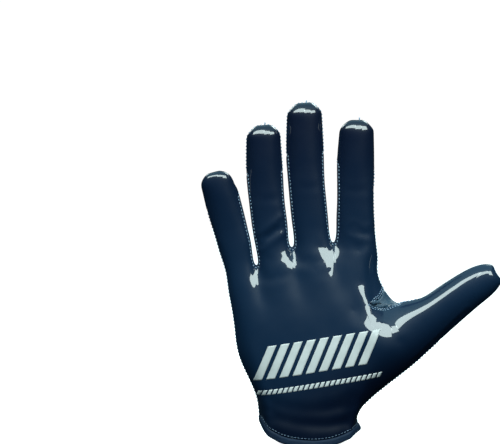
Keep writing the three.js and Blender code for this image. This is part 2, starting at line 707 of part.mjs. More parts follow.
// A slab that follows the back of the wrist, with a grid whose columns run along the ribs.
function tabGeometry() {
  const ribs = Math.round((tabLength * tabSpan) / ribPitch);
  const columns = ribs * columnsPerRib + 1;
  const rows = tabRowShares.length;
  const inner = [];
  const outer = [];
  for (let column = 0; column <= columns; column += 1) {
    const start = mix(-tabMargin, tabSpan - tabMargin, column / columns);
    const low = ribEnd(start, "low");
    const high = ribEnd(start, "high");
    const raised = column % columnsPerRib === 2 || column % columnsPerRib === 3;
    tabRowShares.forEach((share, row) => {
      const x = mix(low.x, high.x, share);
      const z = backEdgeAt(x) + mix(low.up, high.up, share);
      const { point, out } = onBack(x, z);
      const rib = raised && row > 0 && row < rows - 1 ? ribHeight : 0;
      inner.push(point.clone().addScaledVector(out, tabGap));
      outer.push(point.clone().addScaledVector(out, tabGap + tabThickness + rib));
    });
  }
  const shift = inner.length;
  const triangles = [];
  const at = (column, row) => column * rows + row;
  for (let column = 0; column < columns; column += 1) {
    for (let row = 0; row < rows - 1; row += 1) {
      const [a, b, c, d] = [at(column, row), at(column + 1, row), at(column + 1, row + 1), at(column, row + 1)];
      triangles.push(a, c, b, a, d, c);
      triangles.push(a + shift, b + shift, c + shift, a + shift, c + shift, d + shift);
    }
  }
  const rim = [
    ...Array.from({ length: columns }, (_, column) => at(column, 0)),
    ...Array.from({ length: rows - 1 }, (_, row) => at(columns, row)),
    ...Array.from({ length: columns }, (_, column) => at(columns - column, rows - 1)),
    ...Array.from({ length: rows - 1 }, (_, row) => at(0, rows - 1 - row)),
  ];
  rim.forEach((a, number) => {
    const b = rim[(number + 1) % rim.length];
    triangles.push(a, b, b + shift, a, b + shift, a + shift);
  });
  return indexedGeometry([...inner, ...outer], triangles);
}

const finishes = {
  palm_panel: { color: "#1c314a", roughness: 0.28 },
  back_panel: { color: "#16263c", roughness: 0.6 },
  thumb_back_panel: { color: "#1a2c43", roughness: 0.6 },
  thumb_gusset: { color: "#1c3044", roughness: 0.5 },
  fourchette: { color: "#142337", roughness: 0.65 },
  hem_binding: { color: "#0d1a2c", roughness: 0.6 },
  closure_tab: { color: "#1d3247", roughness: 0.5 },
};

function pieceMesh(name, geometry) {
  const finish = finishes[name] ?? finishes.fourchette;
  const mesh = new THREE.Mesh(geometry, new THREE.MeshStandardMaterial({ ...finish, metalness: 0 }));
  mesh.name = name;
  return mesh;
}

const glove = new THREE.Group();
const panelNames = ["palm_panel", "back_panel", "thumb_back_panel", "thumb_gusset", ...fourchetteNames];
panelNames.forEach((name) => {
  const faces = skin.faces.filter((face) => face.panels[0] === name);
  glove.add(pieceMesh(name, leatherGeometry(faces)));
});
glove.add(pieceMesh("hem_binding", hemGeometry()));
glove.add(pieceMesh("closure_tab", tabGeometry()));

export default glove;
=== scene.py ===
import math
import bpy
import numpy as np
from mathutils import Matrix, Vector, noise
from mathutils.bvhtree import BVHTree
from mathutils.kdtree import KDTree


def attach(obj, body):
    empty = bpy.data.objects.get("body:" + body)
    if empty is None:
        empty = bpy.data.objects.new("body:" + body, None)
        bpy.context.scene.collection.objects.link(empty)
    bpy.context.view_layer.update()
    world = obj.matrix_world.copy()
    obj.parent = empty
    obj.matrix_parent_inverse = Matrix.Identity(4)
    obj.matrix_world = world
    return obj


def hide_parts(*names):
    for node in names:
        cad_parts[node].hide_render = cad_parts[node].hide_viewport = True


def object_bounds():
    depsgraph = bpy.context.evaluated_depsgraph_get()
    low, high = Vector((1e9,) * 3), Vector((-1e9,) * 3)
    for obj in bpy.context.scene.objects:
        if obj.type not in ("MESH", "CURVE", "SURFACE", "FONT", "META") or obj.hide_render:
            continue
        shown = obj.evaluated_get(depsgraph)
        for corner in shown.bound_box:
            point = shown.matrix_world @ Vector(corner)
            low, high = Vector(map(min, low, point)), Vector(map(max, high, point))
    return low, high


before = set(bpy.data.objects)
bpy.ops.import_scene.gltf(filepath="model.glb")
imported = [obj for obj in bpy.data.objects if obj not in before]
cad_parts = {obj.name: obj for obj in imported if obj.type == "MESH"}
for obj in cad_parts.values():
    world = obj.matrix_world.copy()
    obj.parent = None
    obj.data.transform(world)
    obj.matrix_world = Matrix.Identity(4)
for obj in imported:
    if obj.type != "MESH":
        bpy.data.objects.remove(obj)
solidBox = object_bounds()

# Football receiver glove for the right hand, palm towards -Y, thumb towards +X, fingers up.
# Lengths are millimetres until a mesh is made, metres after that.
mm = 0.001
scene = bpy.context.scene
scene.view_settings.view_transform = "Standard"


# hand sizes
hand = {
    "palmBreadth": 100, "palmLength": 124, "palmDepth": 34,
    "wristBreadth": 65, "wristDepth": 43,
    "thumbLength": 63, "thumbWidth": 27, "thumbDepth": 24, "thumbAngle": 38.5,
}
fingers = [
    dict(name="pinky", length=64.5, width=22.6, depth=17, lean=15.4, bow=-0.03, curl=8, cap=0.83,
         wrapped=True),
    dict(name="ring", length=84.2, width=23.6, depth=18, lean=4.9, bow=0.08, curl=6, cap=0.74,
         wrapped=False),
    dict(name="middle", length=91, width=24.2, depth=18.5, lean=3.5, bow=0.066, curl=5, cap=0.74,
         wrapped=False),
    dict(name="index", length=78.3, width=24, depth=18.5, lean=-0.4, bow=0.016, curl=6, cap=0.735,
         wrapped=True),
]
crotches = [(-0.545, 0.839), (-0.335, 0.879), (-0.104, 0.976), (0.164, 1), (0.452, 1)]
fourchetteHalf = 4.5
fingerGap = 1

# straight, round, width, depth, spread, seam angle
fingerRings = [
    (0, 0, 1, 1, 1, 30),
    (0.24, 0, 1.03, 1.02, 0.35, 30),
    (0.49, 0, 1.01, 1, 0.05, 27),
    (0, 0, 0.985, 0.97, 0, 18),
    (1, 0, 0.95, 0.9, 0, 22),
    (1, 0.58, 0.88, 0.76, 0, 27),
    (1, 0.87, 0.58, 0.38, 0, 35),
]
tipDome = 0.09
capRing = 3
capLean = 0.21

# wrist, spacing, web, dip, draw | left | right | back right | front, back, thumb front, thumb back
palmRows = [
    (1, 0, 0, 1, 0, (-0.478, 0.088), (0.49, 0.046), (0.49, 0.05), 0.5, 0.5, 0, 0),
    (0.6, 0.1, 0, 0.4, 0, (-0.42, 0.194), (0.463, 0.162), (0.44, 0.155), 0.53, 0.48, 0.06, 0.08),
    (0.25, 0.2, 0, 0.1, 0.02, (-0.427, 0.306), (0.515, 0.37), (0.515, 0.345), 0.56, 0.47, 0.4, 0.24),
    (0, 0.35, 0.05, 0, 0.06, (-0.444, 0.419), (0.51, 0.545), (0.585, 0.51), 0.54, 0.46, 0.34, 0.18),
    (0, 0.5, 0.2, 0, 0.1, (-0.466, 0.532), (0.527, 0.677), (0.54, 0.669), 0.49, 0.44, 0, 0),
    (0, 0.7, 0.45, 0, 0.05, (-0.484, 0.637), (0.442, 0.806), (0.442, 0.806), 0.45, 0.42, 0, 0),
    (0, 0.9, 0.8, 0, 0.01, (-0.508, 0.742), (0.439, 0.903), (0.439, 0.903), 0.4, 0.38, 0, 0),
]
palmRoundness = 2.2
palmHemDip = 0.087
backHemRise = 0.03
thumbRowLow = 1
thumbRowHigh = 4

# upper along, across | lower along, across | slant, forward, depth, seam angle
thumbCrotch = (0.6, 0.682)
thumbRings = [
    ((0.01, -0.02), (-0.4, -1.35), 0, 0.1, 1.2, 22),
    ((0.19, -0.17), (-0.04, -1.3), 0.09, 0.2, 1.08, 24),
    ((0.41, -0.23), (0.29, -1.23), 0.31, 0.3, 1, 24),
    ((0.64, -0.27), (0.58, -1.2), 0.2, 0.38, 0.95, 26),
    ((0.84, -0.37), (0.8, -1.185), 0.05, 0.43, 0.8, 30),
    ((0.945, -0.54), (0.915, -1.11), 0, 0.46, 0.5, 35),
]
thumbWrapRing = 2

gussetFront = [(-0.48, 0.15), (-0.62, 0.07), (-0.76, -0.005), (-0.73, -0.09), (-0.5, -0.12), (-0.28, -0.115),
               (-0.07, -0.06)]
gussetBack = [(-0.365, 0.05), (-0.37, -0.13), (-0.345, -0.32), (-0.22, -0.47), (-0.1, -0.39), (-0.03, -0.25),
              (0.04, -0.1)]


def mix(a, b, share):
    return a + (b - a) * share


def fourAngles(seamAngle):
    return [math.radians(mix(seamAngle, 180 - seamAngle, step / 3)) for step in range(4)]


def unit(vector):
    return vector / np.linalg.norm(vector)


# the cage
cagePoints = []
cageFaces = []
cagePanels = []


def addPoint(point):
    cagePoints.append(np.array(point, float))
    return len(cagePoints) - 1


def crotchPlace(shares):
    return np.array((shares[0] * hand["palmBreadth"], 0, shares[1] * hand["palmLength"]))


def fingerPoints(finger, index):
    left, right = crotchPlace(crotches[index]), crotchPlace(crotches[index + 1])
    base = (left + right) / 2
    baseWidth = np.linalg.norm(right - left) - fingerGap
    baseAcross = unit(right - left)
    lean = math.radians(finger["lean"])
    along = np.array((-math.sin(lean), 0, math.cos(lean)))
    across = np.array((math.cos(lean), 0, math.sin(lean)))
    tipRound = finger["width"] / 2
    straightLength = finger["length"] - tipRound
    rings = []
    for number, (straight, roundShare, width, depth, spread, seamAngle) in enumerate(fingerRings):
        share = finger["cap"] if number == capRing else straight
        reach = share * straightLength + roundShare * tipRound
        done = reach / finger["length"]
        centre = base + along * reach - across * finger["bow"] * finger["width"] * math.sin(math.pi * done)
        centre[1] -= finger["curl"] * done * done
        ringWidth = mix(finger["width"] * width, baseWidth, spread)
        direction = unit(mix(across, baseAcross, spread))
        slant = capLean * finger["width"] if number == capRing and finger["wrapped"] else 0
        outward = 1 if index == 0 else -1
        ring = {}
        for key, side in (("front", -1), ("back", 1)):
            ring[key] = []
            for angle in fourAngles(seamAngle):
                point = centre - direction * math.cos(angle) * ringWidth / 2
                point[1] += side * math.sin(angle) * finger["depth"] * depth / 2
                if side > 0:
                    point = point - along * slant * outward * math.cos(angle)
                if number == len(fingerRings) - 1:
                    point = point + along * tipDome * tipRound * math.sin(angle)
                ring[key].append(addPoint(point))
        rings.append(ring)
    return rings


fingerGrids = [fingerPoints(finger, index) for index, finger in enumerate(fingers)]
baseFront = [id for rings in fingerGrids for id in rings[0]["front"]]
baseBack = [id for rings in fingerGrids for id in rings[0]["back"]]
lastColumn = len(baseFront) - 1


def palmRow(row, side):
    wrist, spacing, web, dip, draw, left, right, backRight, frontDepth, backDepth, thumbFront, thumbBack = row
    top = [cagePoints[id] for id in (baseFront if side < 0 else baseBack)]
    breadth = mix(hand["palmBreadth"], hand["wristBreadth"], wrist)
    depth = mix(hand["palmDepth"], hand["wristDepth"], wrist) * (frontDepth if side < 0 else backDepth)
    end = right if side < 0 else backRight
    raised = (thumbFront if side < 0 else thumbBack) * hand["palmDepth"]
    first, last = top[0], top[-1]
    ids = []
    for column, point in enumerate(top):
        even = column / lastColumn
        topShare = (point[0] - first[0]) / (last[0] - first[0])
        share = mix(even, topShare, spacing) - (draw * even ** 6 if column < lastColumn else 0)
        x = mix(left[0], end[0], share) * breadth
        webbing = web * (point[2] - mix(first[2], last[2], topShare))
        if side < 0:
            hem = -palmHemDip * (1 - abs(2 * share ** 0.8 - 1) ** 2.4)
        else:
            hem = backHemRise * math.sin(math.pi * share ** 0.8)
        z = (mix(left[1], end[1], share) + dip * hem) * hand["palmLength"] + webbing
        across = abs(2 * share - 1)
        low = fourchetteHalf + (raised if share > 0.5 else 0)
        arch = max(0, 1 - across ** palmRoundness) ** (1 / palmRoundness)
        arched = low + (depth - low) * arch
        knuckles = max(0, web - 0.2) * (abs(point[1]) - mix(fourchetteHalf, arched, 0.9))
        ids.append(addPoint((x, side * (arched + min(0, knuckles)), z)))
    return ids


front = [palmRow(row, -1) for row in palmRows] + [baseFront]
back = [palmRow(row, 1) for row in palmRows] + [baseBack]

thumbOrigin = crotchPlace(thumbCrotch)
thumbTurn = math.radians(hand["thumbAngle"])
thumbAlong = np.array((math.cos(thumbTurn), 0, math.sin(thumbTurn)))
thumbAcross = np.array((-math.sin(thumbTurn), 0, math.cos(thumbTurn)))


def thumbPlace(place):
    along = thumbAlong * place[0] * hand["thumbLength"]
    return thumbOrigin + along + thumbAcross * place[1] * hand["thumbWidth"]


def thumbRing(upperPlace, lowerPlace, slant, forward, depth, seamAngle):
    upper, lower = thumbPlace(upperPlace), thumbPlace(lowerPlace)
    centre = (upper + lower) / 2
    centre[1] = -forward * hand["thumbDepth"]
    half = (upper - lower) / 2
    ring = {}
    for key, side in (("front", -1), ("back", 1)):
        ring[key] = []
        for angle in fourAngles(seamAngle):
            point = centre + half * math.cos(angle)
            point[1] += side * math.sin(angle) * depth * hand["thumbDepth"] / 2
            if side > 0:
                point = point - thumbAlong * math.cos(angle) * slant * hand["thumbLength"]
            ring[key].append(addPoint(point))
    return ring


joinRows = [thumbRowHigh - step for step in range(4)]
thumbGrid = [{"front": [front[row][-1] for row in joinRows], "back": [back[row][-1] for row in joinRows]}]
thumbGrid += [thumbRing(*ring) for ring in thumbRings]
crotchIds = (front[thumbRowHigh][-1], back[thumbRowHigh][-1])


def joinFace(corners, panelAt):
    panels = [panelAt] * 4 if isinstance(panelAt, str) else list(panelAt)
    cageFaces.append(corners)
    cagePanels.append(["thumb_gusset" if id in crotchIds else panel for id, panel in zip(corners, panels)])


def leftStrip(lowFront, highFront, highBack, lowBack, frontPanel, backPanel):
    joinFace([lowFront, highFront, highBack, lowBack], [frontPanel, frontPanel, backPanel, backPanel])


def rightStrip(lowFront, highFront, highBack, lowBack, frontPanel, backPanel):
    joinFace([lowFront, lowBack, highBack, highFront], [frontPanel, backPanel, backPanel, frontPanel])


palmSteps = list(zip(front, front[1:], back, back[1:]))
for low, high, lowBack, highBack in palmSteps:
    for column in range(lastColumn):
        after = column + 1
        joinFace([low[column], low[after], high[after], high[column]], "palm_panel")
        joinFace([lowBack[after], lowBack[column], highBack[column], highBack[after]], "back_panel")
for row, (low, high, lowBack, highBack) in enumerate(palmSteps):
    leftStrip(low[0], high[0], highBack[0], lowBack[0], "palm_panel", "back_panel")
    if not thumbRowLow <= row < thumbRowHigh:
        rightStrip(low[-1], high[-1], highBack[-1], lowBack[-1], "palm_panel", "back_panel")

fourchetteNames = [f"fourchette_{fingers[n + 1]['name']}_{fingers[n]['name']}" for n in range(3)]
for index, finger in enumerate(fingers):
    rings = fingerGrids[index]
    tipPanel = "palm_panel" if finger["wrapped"] else "back_panel"
    leftPanel = fourchetteNames[index - 1] if index > 0 else None
    rightPanel = fourchetteNames[index] if index < 3 else None
    for number in range(len(rings) - 1):
        low, high = rings[number], rings[number + 1]
        beyondCap = number >= capRing
        backPanel = tipPanel if beyondCap else "back_panel"
        for column in range(3):
            joinFace([low["front"][column], low["front"][column + 1], high["front"][column + 1],
                      high["front"][column]], "palm_panel")
            joinFace([low["back"][column + 1], low["back"][column], high["back"][column],
                      high["back"][column + 1]], backPanel)
        left = None if beyondCap else leftPanel
        right = None if beyondCap else rightPanel
        leftStrip(low["front"][0], high["front"][0], high["back"][0], low["back"][0],
                  left or "palm_panel", left or backPanel)
        rightStrip(low["front"][3], high["front"][3], high["back"][3], low["back"][3],
                   right or "palm_panel", right or backPanel)
    tipFront, tipBack = rings[-1]["front"], rings[-1]["back"]
    for column in range(3):
        joinFace([tipFront[column], tipFront[column + 1], tipBack[column + 1], tipBack[column]],
                 ["palm_panel", "palm_panel", tipPanel, tipPanel])
    if rightPanel:
        base, beside = rings[0], fingerGrids[index + 1][0]
        joinFace([base["front"][3], beside["front"][0], beside["back"][0], base["back"][3]], rightPanel)

for number in range(len(thumbGrid) - 1):
    low, high = thumbGrid[number], thumbGrid[number + 1]
    backPanel = "palm_panel" if number >= thumbWrapRing else "thumb_back_panel"
    for column in range(3):
        joinFace([low["front"][column + 1], high["front"][column + 1], high["front"][column],
                  low["front"][column]], "palm_panel")
        joinFace([high["back"][column + 1], low["back"][column + 1], low["back"][column],
                  high["back"][column]], backPanel)
    leftStrip(low["front"][0], high["front"][0], high["back"][0], low["back"][0], "palm_panel", backPanel)
    rightStrip(low["front"][3], high["front"][3], high["back"][3], low["back"][3], "palm_panel", backPanel)
tipFront, tipBack = thumbGrid[-1]["front"], thumbGrid[-1]["back"]
for column in range(3):
    joinFace([tipFront[column + 1], tipBack[column + 1], tipBack[column], tipFront[column]], "palm_panel")
print("cage:", len(cagePoints), "points,", len(cageFaces), "faces")


# smooth surface
def netOf(faces, count):
    pairs = np.sort(np.stack([faces, np.roll(faces, -1, axis=1)], axis=2).reshape(-1, 2), axis=1)
    edges, slot, sides = np.unique(pairs, axis=0, return_inverse=True, return_counts=True)
    rim = edges[sides == 1]
    onRim = np.zeros(count, bool)
    onRim[rim.ravel()] = True
    return {"edges": edges, "slot": slot.reshape(faces.shape), "sides": sides, "rim": rim, "onRim": onRim,
            "valence": np.bincount(edges.ravel(), minlength=count)[:, None]}


def rimSum(points, net):
    total = np.zeros_like(points)
    np.add.at(total, net["rim"][:, 0], points[net["rim"][:, 1]])
    np.add.at(total, net["rim"][:, 1], points[net["rim"][:, 0]])
    return total


# where each point of a four-sided mesh ends up once it is subdivided for ever
def limitOf(points, faces, net):
    valence = net["valence"]
    total = valence ** 2 * points
    np.add.at(total, net["edges"][:, 0], 4 * points[net["edges"][:, 1]])
    np.add.at(total, net["edges"][:, 1], 4 * points[net["edges"][:, 0]])
    np.add.at(total, faces, points[np.roll(faces, 2, axis=1)])
    limit = total / (valence * (valence + 5))
    onRim = net["onRim"]
    limit[onRim] = (4 * points[onRim] + rimSum(points, net)[onRim]) / 6
    return limit


def fitted(points, faces):
    net = netOf(faces, len(points))
    fit = points.copy()
    for step in range(10):
        fit += points - limitOf(fit, faces, net)
    return fit


def refined(points, faces):
    net = netOf(faces, len(points))
    edges, slot, sides, onRim = net["edges"], net["slot"], net["sides"], net["onRim"]
    middles = points[faces].mean(axis=1)
    spread = np.repeat(middles[:, None, :], 4, axis=1)
    ends = points[edges].sum(axis=1)
    beside = np.zeros_like(ends)
    np.add.at(beside, slot, spread)
    edgePoints = np.where((sides == 2)[:, None], (ends + beside) / 4, ends / 2)
    faceSum = np.zeros_like(points)
    np.add.at(faceSum, faces, spread)
    faceCount = np.bincount(faces.ravel(), minlength=len(points))[:, None]
    edgeSum = np.zeros_like(points)
    np.add.at(edgeSum, edges[:, 0], ends / 2)
    np.add.at(edgeSum, edges[:, 1], ends / 2)
    valence = net["valence"]
    moved = (faceSum / faceCount + 2 * edgeSum / valence + (valence - 3) * points) / valence
    moved[onRim] = (6 * points[onRim] + rimSum(points, net)[onRim]) / 8
    edgeIds = len(points) + slot
    middleIds = len(points) + len(edges) + np.arange(len(faces))
    middleCorner = np.repeat(middleIds[:, None], 4, axis=1)
    quads = np.stack([faces, edgeIds, middleCorner, np.roll(edgeIds, 1, axis=1)], axis=2)
    return np.vstack([moved, edgePoints, middles]), quads.reshape(-1, 4), net


def normalsOf(points, faces):
    corners = points[faces]
    normal = np.cross(corners[:, 2] - corners[:, 0], corners[:, 3] - corners[:, 1])
    total = np.zeros_like(points)
    np.add.at(total, faces, np.repeat(normal[:, None, :], 4, axis=1))
    return total / np.linalg.norm(total, axis=1, keepdims=True)


# outermost depth of a mesh at a place seen along Y
def surfaceAt(points, faces, x, z, side):
    triangles = np.vstack([faces[:, [0, 1, 2]], faces[:, [0, 2, 3]]])
    a, b, c = (points[triangles[:, k]] for k in range(3))
    area = (b[:, 0] - a[:, 0]) * (c[:, 2] - a[:, 2]) - (c[:, 0] - a[:, 0]) * (b[:, 2] - a[:, 2])
    safe = np.where(area == 0, 1, area)
    v = ((x - a[:, 0]) * (c[:, 2] - a[:, 2]) - (c[:, 0] - a[:, 0]) * (z - a[:, 2])) / safe
    w = ((b[:, 0] - a[:, 0]) * (z - a[:, 2]) - (x - a[:, 0]) * (b[:, 2] - a[:, 2])) / safe
    hit = (area * side < 0) & (v >= 0) & (w >= 0) & (v + w <= 1)
    y = (a + v[:, None] * (b - a) + w[:, None] * (c - a))[hit, 1]
    return None if not len(y) else (y.min() if side < 0 else y.max())


cage = np.array(cagePoints)
faces = np.array(cageFaces)
cornerPanels = np.array(cagePanels)
panelNames = ["palm_panel", "back_panel", "thumb_back_panel", "thumb_gusset"] + fourchetteNames
labels = np.searchsorted(sorted(panelNames), cornerPanels).reshape(-1)
panelNumber = {name: number for number, name in enumerate(sorted(panelNames))}

skin, skinFaces, cageNet = refined(fitted(cage, faces), faces)
skin = limitOf(skin, skinFaces, netOf(skinFaces, len(skin)))
finePoints, fineFaces, _ = refined(fitted(skin, skinFaces), skinFaces)
finePoints = limitOf(finePoints, fineFaces, netOf(fineFaces, len(finePoints)))


# the gusset's seams run through chosen places
def setGusset(grid, ring, places, side):
    crotch = grid[thumbRowHigh][-1]
    edgeStart = len(cage)
    middleStart = len(cage) + len(cageNet["edges"])

    def edgeId(other):
        pair = sorted((crotch, other))
        return edgeStart + int(np.where((cageNet["edges"] == pair).all(axis=1))[0][0])

    def faceId(other):
        return middleStart + next(n for n, face in enumerate(cageFaces) if crotch in face and other in face)

    above, below = grid[thumbRowHigh + 1], grid[thumbRowHigh - 1]
    ids = [edgeId(above[-1]), faceId(above[-2]), edgeId(grid[thumbRowHigh][-2]), faceId(below[-2]),
           edgeId(below[-1]), faceId(ring[1]), edgeId(ring[0])]
    for id, (shareX, shareZ) in zip(ids, places):
        x = thumbOrigin[0] + shareX * hand["thumbWidth"]
        z = thumbOrigin[2] + shareZ * hand["thumbWidth"]
        y = surfaceAt(finePoints, fineFaces, x, z, side)
        if y is not None:
            skin[id] = (x, y, z)


setGusset(front, thumbGrid[1]["front"], gussetFront, -1)
setGusset(back, thumbGrid[1]["back"], gussetBack, 1)

# four levels below the cage: about half a millimetre across a finger, one along it
points, coarseFaces = fitted(skin, skinFaces), skinFaces
for level in range(3):
    points, nextFaces, net = refined(points, coarseFaces)
    labels = np.repeat(labels, 4)
    if level == 1:
        innerFaces, innerLabels, innerCount = nextFaces, labels, len(points)
    if level == 2:
        innerNet = net
    coarseFaces = nextFaces
skinQuads = coarseFaces
skinPoints = limitOf(points, skinQuads, netOf(skinQuads, len(points)))
skinNormals = normalsOf(skinPoints, skinQuads)
print("skin:", len(skinPoints), "points,", len(skinQuads), "faces")


# seams: each edge of the skin where two panels meet, with the two panels' numbers
def seamEdges():
    start = skinQuads.ravel()
    end = np.roll(skinQuads, -1, axis=1).ravel()
    key = np.minimum(start, end) * len(skinPoints) + np.maximum(start, end)
    order = np.argsort(key, kind="stable")
    owner = np.repeat(labels, 4)
    first, second = order[:-1], order[1:]
    same = key[first] == key[second]
    first, second = first[same], second[same]
    split = owner[first] != owner[second]
    return [(int(start[a]), int(end[a]), int(owner[a]), int(owner[b]))
            for a, b in zip(first[split], second[split])]


seams = seamEdges()
seamTree = KDTree(len(seams) * 4)
for number, (a, b, _, _) in enumerate(seams):
    for step in range(4):
        seamTree.insert(mix(skinPoints[a], skinPoints[b], step / 4), number * 4 + step)
seamTree.balance()
seamDistance = np.array([seamTree.find(point)[2] for point in skinPoints])


# the seam between two panels as chains of points, in the order in which the first panel runs round
def seamChains(panel, other):
    a, b = panelNumber[panel], panelNumber[other]
    following = {}
    for start, end, one, two in seams:
        if (one, two) == (a, b):
            following[start] = end
        elif (one, two) == (b, a):
            following[end] = start
    chains = []
    starts = [id for id in following if id not in set(following.values())] or list(following)[:1]
    for start in starts:
        chain = [start]
        while chain[-1] in following and following[chain[-1]] != start:
            chain.append(following[chain[-1]])
        chains.append(chain)
    return chains


# folds
# each is a soft line across one side: side, width, depth, then places (x, z); a minus depth is a ridge
folds = [
    # palm: across the heel, the base of the fingers and the middle joints
    ("palm", 3.2, 0.7, [(-27, 13), (-10, 9), (10, 7.5), (29, 10)]),
    ("palm", 4.0, 0.5, [(-30, 22), (-14, 17), (6, 16), (28, 22)]),
    ("palm", 3.5, 0.45, [(44, 118), (41, 106), (42, 92), (46, 78)]),
    ("palm", 3.0, 0.2, [(24, 122), (33, 121), (40, 124), (45, 129)]),
    ("palm", 2.4, 0.3, [(29, 132), (36, 129), (43, 131)]),
    ("palm", 3.0, 0.2, [(-10, 113), (0, 110), (10, 113), (16, 118)]),
    ("palm", 3.0, 0.2, [(-33, 103), (-24, 100), (-14, 105)]),
    ("palm", 2.4, 0.12, [(-33, 152), (-26, 151), (-17, 152)]),
    ("palm", 2.4, 0.12, [(-8, 160), (0, 158.5), (9, 160)]),
    ("palm", 2.4, 0.12, [(21, 158), (30, 156.5), (40, 158)]),
    ("palm", 9.5, -2.0, [(28, 80), (34, 70), (45, 62), (58, 60)]),
    ("palm", 8.0, -1.6, [(8, 120), (21, 113), (32, 118)]),
    ("palm", 6.0, -0.8, [(-26, 113), (-12, 108), (0, 113)]),
    ("palm", 8.0, -0.9, [(4, 106), (18, 101), (34, 97)]),
    ("palm", 2.5, 0.8, [(-31, 124), (-24, 129), (-16, 135)]),
    ("palm", 1.3, 0.4, [(101, 80), (90, 69), (79, 58), (66, 46)]),
    # back: loose leather over the wrist, and the finger joints
    ("back", 2.6, 1.0, [(31, 26), (20, 32), (6, 39), (-12, 46), (-32, 49)]),
    ("back", 2.2, 0.8, [(33, 36), (22, 41), (8, 47), (-8, 53)]),
    ("back", 2.6, 0.9, [(36, 47), (24, 50), (10, 57), (-6, 61)]),
    ("back", 2.4, 0.5, [(48, 60), (36, 59), (24, 64)]),
    ("back", 1.8, 0.4, [(10, 29), (0, 35), (-12, 38)]),
    ("back", 2.2, 0.45, [(44, 96), (36, 99), (28, 97)]),
    ("back", 2.2, 0.4, [(21, 156), (30, 154.5), (40, 156)]),
    ("back", 2.2, 0.4, [(-8, 163), (0, 161.5), (9, 163)]),
    ("back", 2.2, 0.4, [(-34, 155), (-26, 153.5), (-16, 155)]),
    ("back", 2.2, 0.35, [(-59, 138), (-52, 136.5), (-45, 138)]),
    ("back", 2.6, 0.5, [(66, 82), (66, 73), (69, 62)]),
    ("back", 3.0, 0.4, [(50, 50), (58, 56), (68, 60)]),
]


def nearPath(x, z, places):
    best = np.full(len(x), 1e9)
    for (x0, z0), (x1, z1) in zip(places[:-1], places[1:]):
        dx, dz = x1 - x0, z1 - z0
        share = np.clip(((x - x0) * dx + (z - z0) * dz) / (dx * dx + dz * dz), 0, 1)
        best = np.minimum(best, np.hypot(x - x0 - share * dx, z - z0 - share * dz))
    return best


def smoothPath(places, steps=6):
    curve = []
    padded = [places[0]] + list(places) + [places[-1]]
    for p0, p1, p2, p3 in zip(padded, padded[1:], padded[2:], padded[3:]):
        for step in range(steps):
            t = step / steps
            curve.append(tuple(
                0.5 * (2 * b + (c - a) * t + (2 * a - 5 * b + 4 * c - d) * t * t
                       + (3 * b - a - 3 * c + d) * t ** 3)
                for a, b, c, d in zip(p0, p1, p2, p3)))
    return curve + [tuple(places[-1])]


# the taut film irons the palm smooth between its seams
iron = {"low": 18, "high": 124, "rounds": 60, "seam": 0.8, "keep": 4.0, "fade": 10}
ironed = (skinNormals[:, 1] < -0.25) & (skinPoints[:, 2] > iron["low"]) & (skinPoints[:, 2] < iron["high"])
links = netOf(skinQuads, len(skinPoints))["edges"]
links = links[ironed[links].any(axis=1)]
linkCount = np.bincount(links.ravel(), minlength=len(skinPoints))[:, None]
fromEdges = np.minimum(skinPoints[:, 2] - iron["low"], iron["high"] - skinPoints[:, 2])
edgeFade = np.clip(fromEdges / iron["fade"], 0, 1)
seamFade = np.clip((seamDistance - iron["seam"]) / iron["keep"], 0, 1)
facingFade = np.clip(-skinNormals[:, 1] * 3 - 0.75, 0, 1)
hold = (seamFade * edgeFade * facingFade)[:, None] * ironed[:, None]
for step in range(iron["rounds"]):
    total = np.zeros_like(skinPoints)
    for axis in range(3):
        total[:, axis] += np.bincount(links[:, 0], skinPoints[links[:, 1], axis], len(skinPoints))
        total[:, axis] += np.bincount(links[:, 1], skinPoints[links[:, 0], axis], len(skinPoints))
    skinPoints = skinPoints + hold * (total / np.maximum(linkCount, 1) - skinPoints)
skinNormals = normalsOf(skinPoints, skinQuads)

# the leather is turned in along the stitching
seam = {"groove": 0.3, "width": 0.6, "swell": 0.06, "swellAt": 1.9, "swellWidth": 1.2}
# a fold swells a little on both sides, and fades out at its ends
fold = {"swell": 0.45, "swellAt": 1.9, "fade": 2.2}
push = np.zeros(len(skinPoints))
facing = skinNormals[:, 1]
for side, width, depth, places in folds:
    curve = smoothPath(places)
    distance = nearPath(skinPoints[:, 0], skinPoints[:, 2], curve)
    ends = [np.hypot(skinPoints[:, 0] - x, skinPoints[:, 2] - z) for x, z in (places[0], places[-1])]
    fade = np.clip(np.minimum(*ends) / (fold["fade"] * width), 0, 1)
    turned = np.clip((-facing if side == "palm" else facing) * 1.6, 0, 1)
    line = np.exp(-(distance / width) ** 2)
    if depth > 0:
        line -= fold["swell"] * np.exp(-((distance - fold["swellAt"] * width) / width) ** 2)
    push -= depth * line * fade * turned

# raised slanting bars pressed into the back of the hand, over one thin bar
emboss = {"left": -32.0, "right": 36.0, "low": 84.0, "high": 102.0, "tilt": 0.06, "bars": 9, "slant": 0.4,
          "height": 0.55, "soft": 0.8, "fill": 0.62, "ruleLow": 75.0, "ruleHigh": 77.4, "clear": 3.0}


